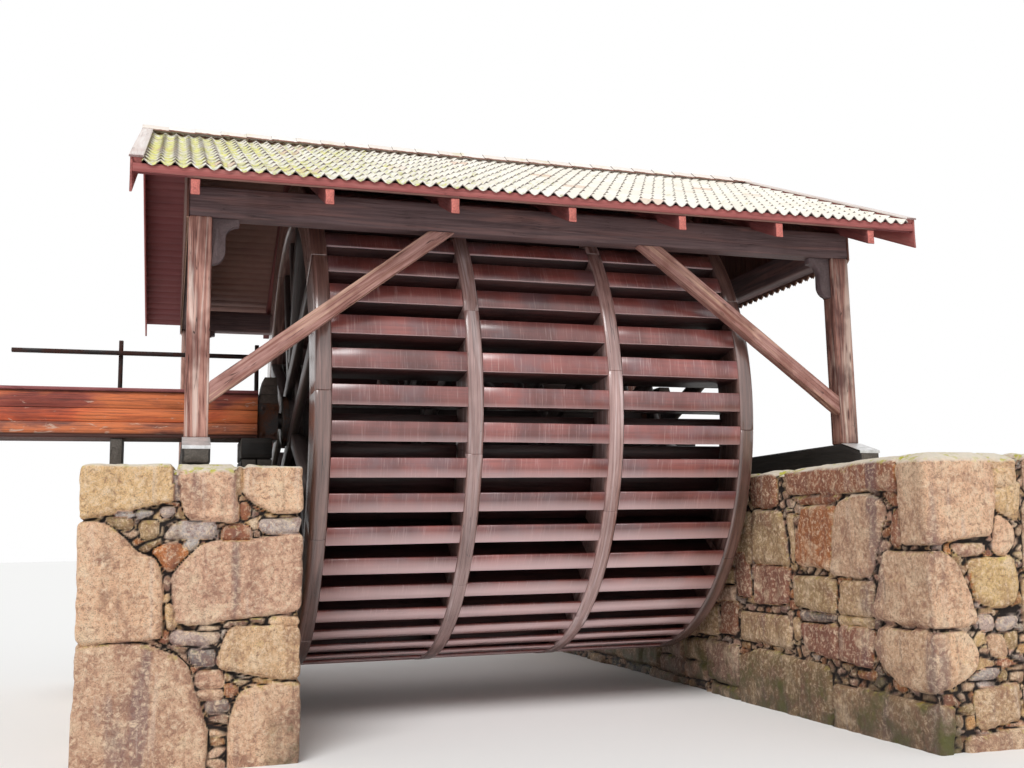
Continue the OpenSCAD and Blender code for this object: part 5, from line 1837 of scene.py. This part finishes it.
low, high = box("shaft_box_stools")
sill_low, sill_high = box("left_sill")
inner_x = (sill_low[0] + sill_high[0] - STOOL_LENGTH) / 2
stools = bars([low, (inner_x, low[1], sill_high[2])],
              [(low[0] + STOOL_LENGTH, *high[1:]), (inner_x + STOOL_LENGTH, *high[1:])], 1)
rings = hewn(timbers(stools, 0.01, 0.14, 2), 0.005, 0.2, 163)
dress("shaft_box_stools", "beams", rings, "sill_wood", sill_wood, seed=163)

# %% [markdown]
# ## The hoods
# Seen along the axle each hood is upright, and seen from the front it narrows
# towards the top. Its planks are therefore outlines between two slanted lines,
# one plank above the other, each lapping a little outside the one below it.

# %% Plank the hoods
HOOD_INSET = 0.08
HOOD_INNER_INSET = 0.02
HOOD_PLANKS = 3
PLANK_PROUD = 0.004


def hood_sections():
    """Planks along Y. Each outline's left and right edges lie on the hood's slanted sides, by the
    share of the height, and its foot stands a little proud of the plank below."""
    low, high = box("bearing_hoods")
    inner = box("right_bearing")[0][0]
    shares = np.linspace(0, 1, HOOD_PLANKS + 1)
    sections = []
    for foot, top in zip(shares, shares[1:]):
        edges = []
        for share, proud in ((foot, PLANK_PROUD * (foot > 0)), (top, 0.0)):
            z = low[2] + share * (high[2] - low[2])
            edges.append([(inner + HOOD_INNER_INSET * share - proud, z),
                          (high[0] - HOOD_INSET * share + proud, z)])
        sections.append([[(x, y, z) for x, z in edges[0] + edges[1][::-1]] for y in (low[1], high[1])])
    return mirrored(np.array(sections))


hood_wood = wood("hood_wood", (0.22, 0.18, 0.17), (0.11, 0.09, 0.09), (0.34, 0.28, 0.26),
                 (0.36, 0.31, 0.28), 0.6, 0.4, dull=0.8)
rings = hewn(timbers(hood_sections(), 0.004, 0.1, 1), 0.002, 0.2, 164)
dress("bearing_hoods", "planks", rings, "hood_wood", hood_wood, seed=164)

# %% [markdown]
# ## Bearings and journals
# A plain iron block with a bore is what each bearing is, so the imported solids
# stay and only get iron as their finish. The nuts that hold them together are
# made here: a washer, a six-sided nut and the bolt's end, turned round one line
# as a single skin whose rings change from round to six-sided and back.

# %% Finish the bearings and add their nuts
NUT_POINTS = 12
NUT_STEPS = ((0.0, 0.030, 0), (0.006, 0.030, 0), (0.006, 0.022, 1), (0.024, 0.022, 1), (0.027, 0.018, 1),
             (0.027, 0.010, 0), (0.036, 0.010, 0), (0.038, 0.007, 0))
NUT_IN = 0.055
NUT_UP = 0.07


def bearing_nuts():
    """Nuts (16, 8, 12, 3), four on the front and four on the rear of each bearing, which point
    along -Y or Y. A six-sided ring's radius is the nut's half width over the cosine of the angle
    from the nearest flat's middle, and a round ring's is even."""
    low, high = box("right_bearing")
    angle = np.arange(NUT_POINTS) * 2 * np.pi / NUT_POINTS
    flat = np.cos((angle + np.pi / 6) % (np.pi / 3) - np.pi / 6)
    out = np.array([step[0] for step in NUT_STEPS])[:, None]
    reach = np.array([radius / flat ** six for _, radius, six in NUT_STEPS])
    shape = np.stack([reach * np.cos(angle), out + 0 * angle, reach * np.sin(angle)], -1)
    return np.array([(side_x * x, side_y * high[1], z) + shape * (1, side_y, 1) for side_x, side_y in SIDES
                     for x in (low[0] + NUT_IN, high[0] - NUT_IN) for z in (low[2] + NUT_UP, high[2] - NUT_UP)])


for node, finish in (("left_bearing", old_iron), ("right_bearing", old_iron), ("right_gudgeon", old_iron),
                     ("shaft", wheel_wood)):
    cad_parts[node].data.materials.clear()
    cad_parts[node].data.materials.append(finish)
piece("bearing_nuts", bearing_nuts(), "iron", old_iron, seed=165)

# %% [markdown]
# ## The box round the shaft
# To the left of the wheel a long wooden box covers the shaft that takes the
# power away. Its sides are three boards high. The red paint has burnt off to
# orange in the middle and flaked off the lowest board, so the finish changes
# with height; knots and flakes come from noise, longer than they are high.

# %% Paint for the box
BOX_SHARES = (0.0, 0.285, 0.60, 1.0)
box_low, box_high = box("shaft_box_sides")


def box_paint():
    """The share of the height picks one of three board colours. Flakes of bare, pale wood show
    where a stretched noise is high, more of them low down, and fibres and dark grain lie on top.
    Dark bands at the top, under the lid, and at the foot are painted shade."""
    f = Finish("box_paint")
    place = f.place()
    share = f.fit(f.axis(place, 2), box_low[2], box_high[2])
    fibres = f.noise(f.grain(), FIBRES, 8.0, 0.7, 0.5)
    broad = f.noise(place, (0.9, 1.0, 2.2), 4.0, 0.6, 0.4)
    flakes = f.noise(place, (4.0, 6.0, 16.0), 6.0, 0.65, 0.6)
    f.colour = (0.70, 0.42, 0.32)
    f.lay(share, BOX_SHARES[1] - 0.01, BOX_SHARES[1], 1.0, (0.88, 0.40, 0.23))
    f.lay(share, BOX_SHARES[2] - 0.01, BOX_SHARES[2], 1.0, (0.66, 0.32, 0.26))
    f.lay(broad, 0.45, 0.60, 0.85, (0.93, 0.52, 0.30))
    f.lay(broad, 0.50, 0.36, 0.7, (0.48, 0.20, 0.16))
    f.lay(fibres, 0.52, 0.34, 0.8, (0.24, 0.10, 0.08))
    f.lay(fibres, 0.56, 0.70, 0.4, (0.82, 0.50, 0.34))
    bare = f.fit(f.plus(flakes, f.fit(share, 0.45, 0.0, 0.0, 0.09)), 0.64, 0.70, 0.0, 0.8)
    f.over(bare, (0.88, 0.76, 0.68))
    # Painted shade: dark bands under the lid and along the foot of the sides.
    edge = f.maths("MAXIMUM", f.fit(share, 0.055, 0.015, 0.0, 0.85), f.fit(share, 0.94, 0.985, 0.0, 0.75))
    f.over(edge, (0.13, 0.08, 0.07))
    f.over(f.part("look", 2), (0.40, 0.24, 0.18))
    bump = f.maths("SUBTRACT", f.fit(fibres, 0.34, 0.62), f.times(bare, 0.8))
    return f.done(f.fit(fibres, 0.3, 0.7, 0.5, 0.75), bump, 0.004)


# %% Board the box
BOX_BOARD = 0.04
sides = [bars(*split((box_low[0], y, box_low[2]), (box_high[0], y + BOX_BOARD, box_high[2]), 2, BOX_SHARES), 0)
         for y in (box_low[1], box_high[1] - BOX_BOARD)]
rings = hewn(timbers(np.concatenate(sides), 0.005, 0.2, 1), 0.003, (0.5, 0.1, 0.1), 170)
dress("shaft_box_sides", "boards", rings, "box_wood", box_paint(), seed=170)
floor_red = wood("floor_red", (0.34, 0.18, 0.14), (0.18, 0.09, 0.08), (0.50, 0.32, 0.26),
                 (0.40, 0.28, 0.22), 0.6, 0.4, dull=0.7)
rings = timbers(bars(*split(*box("shaft_box_floor"), 1, np.linspace(0, 1, 5)), 0), 0.004, 0.4, 1)
dress("shaft_box_floor", "boards", rings, "box_wood", floor_red, seed=171)
lid_red = wood("lid_red", (0.74, 0.44, 0.44), (0.54, 0.26, 0.26), (0.88, 0.66, 0.64),
               (0.60, 0.42, 0.38), 0.5, 0.35, 0.4, dull=0.65)
rings = timbers(bars(*split(*box("shaft_box_lid"), 1, (0.0, 0.19, 0.40, 0.60, 0.81, 1.0)), 0), 0.006, 0.3, 1)
dress("shaft_box_lid", "boards", hewn(rings, 0.002, 0.3, 172), "box_wood", lid_red, seed=172)

# %% [markdown]
# ## The handrail
# Behind the box a thin, dark rail runs along the pier on two posts. Square bars
# with worn corners are enough; the paint is nearly black, chipped to rust.

# %% Make the handrail
RAIL = 0.06
rail_black = iron("rail_black", (0.12, 0.10, 0.10), (0.30, 0.17, 0.13), 0.45)
low, high = box("handrail_posts")
posts = bars([low, (high[0] - RAIL, *low[1:])], [(low[0] + RAIL, *high[1:]), high], 2)
dress("handrail_posts", "bars", timbers(posts, 0.006, 0.3, 1), "rail", rail_black, seed=173)
dress("handrail", "bar", timbers(bars(*box("handrail"), 0), 0.006, 0.3, 1), "rail", rail_black, seed=174)

# %% Print the bounding box
low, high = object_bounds()
print("box:", [round(v, 3) for v in (*low, *high)])
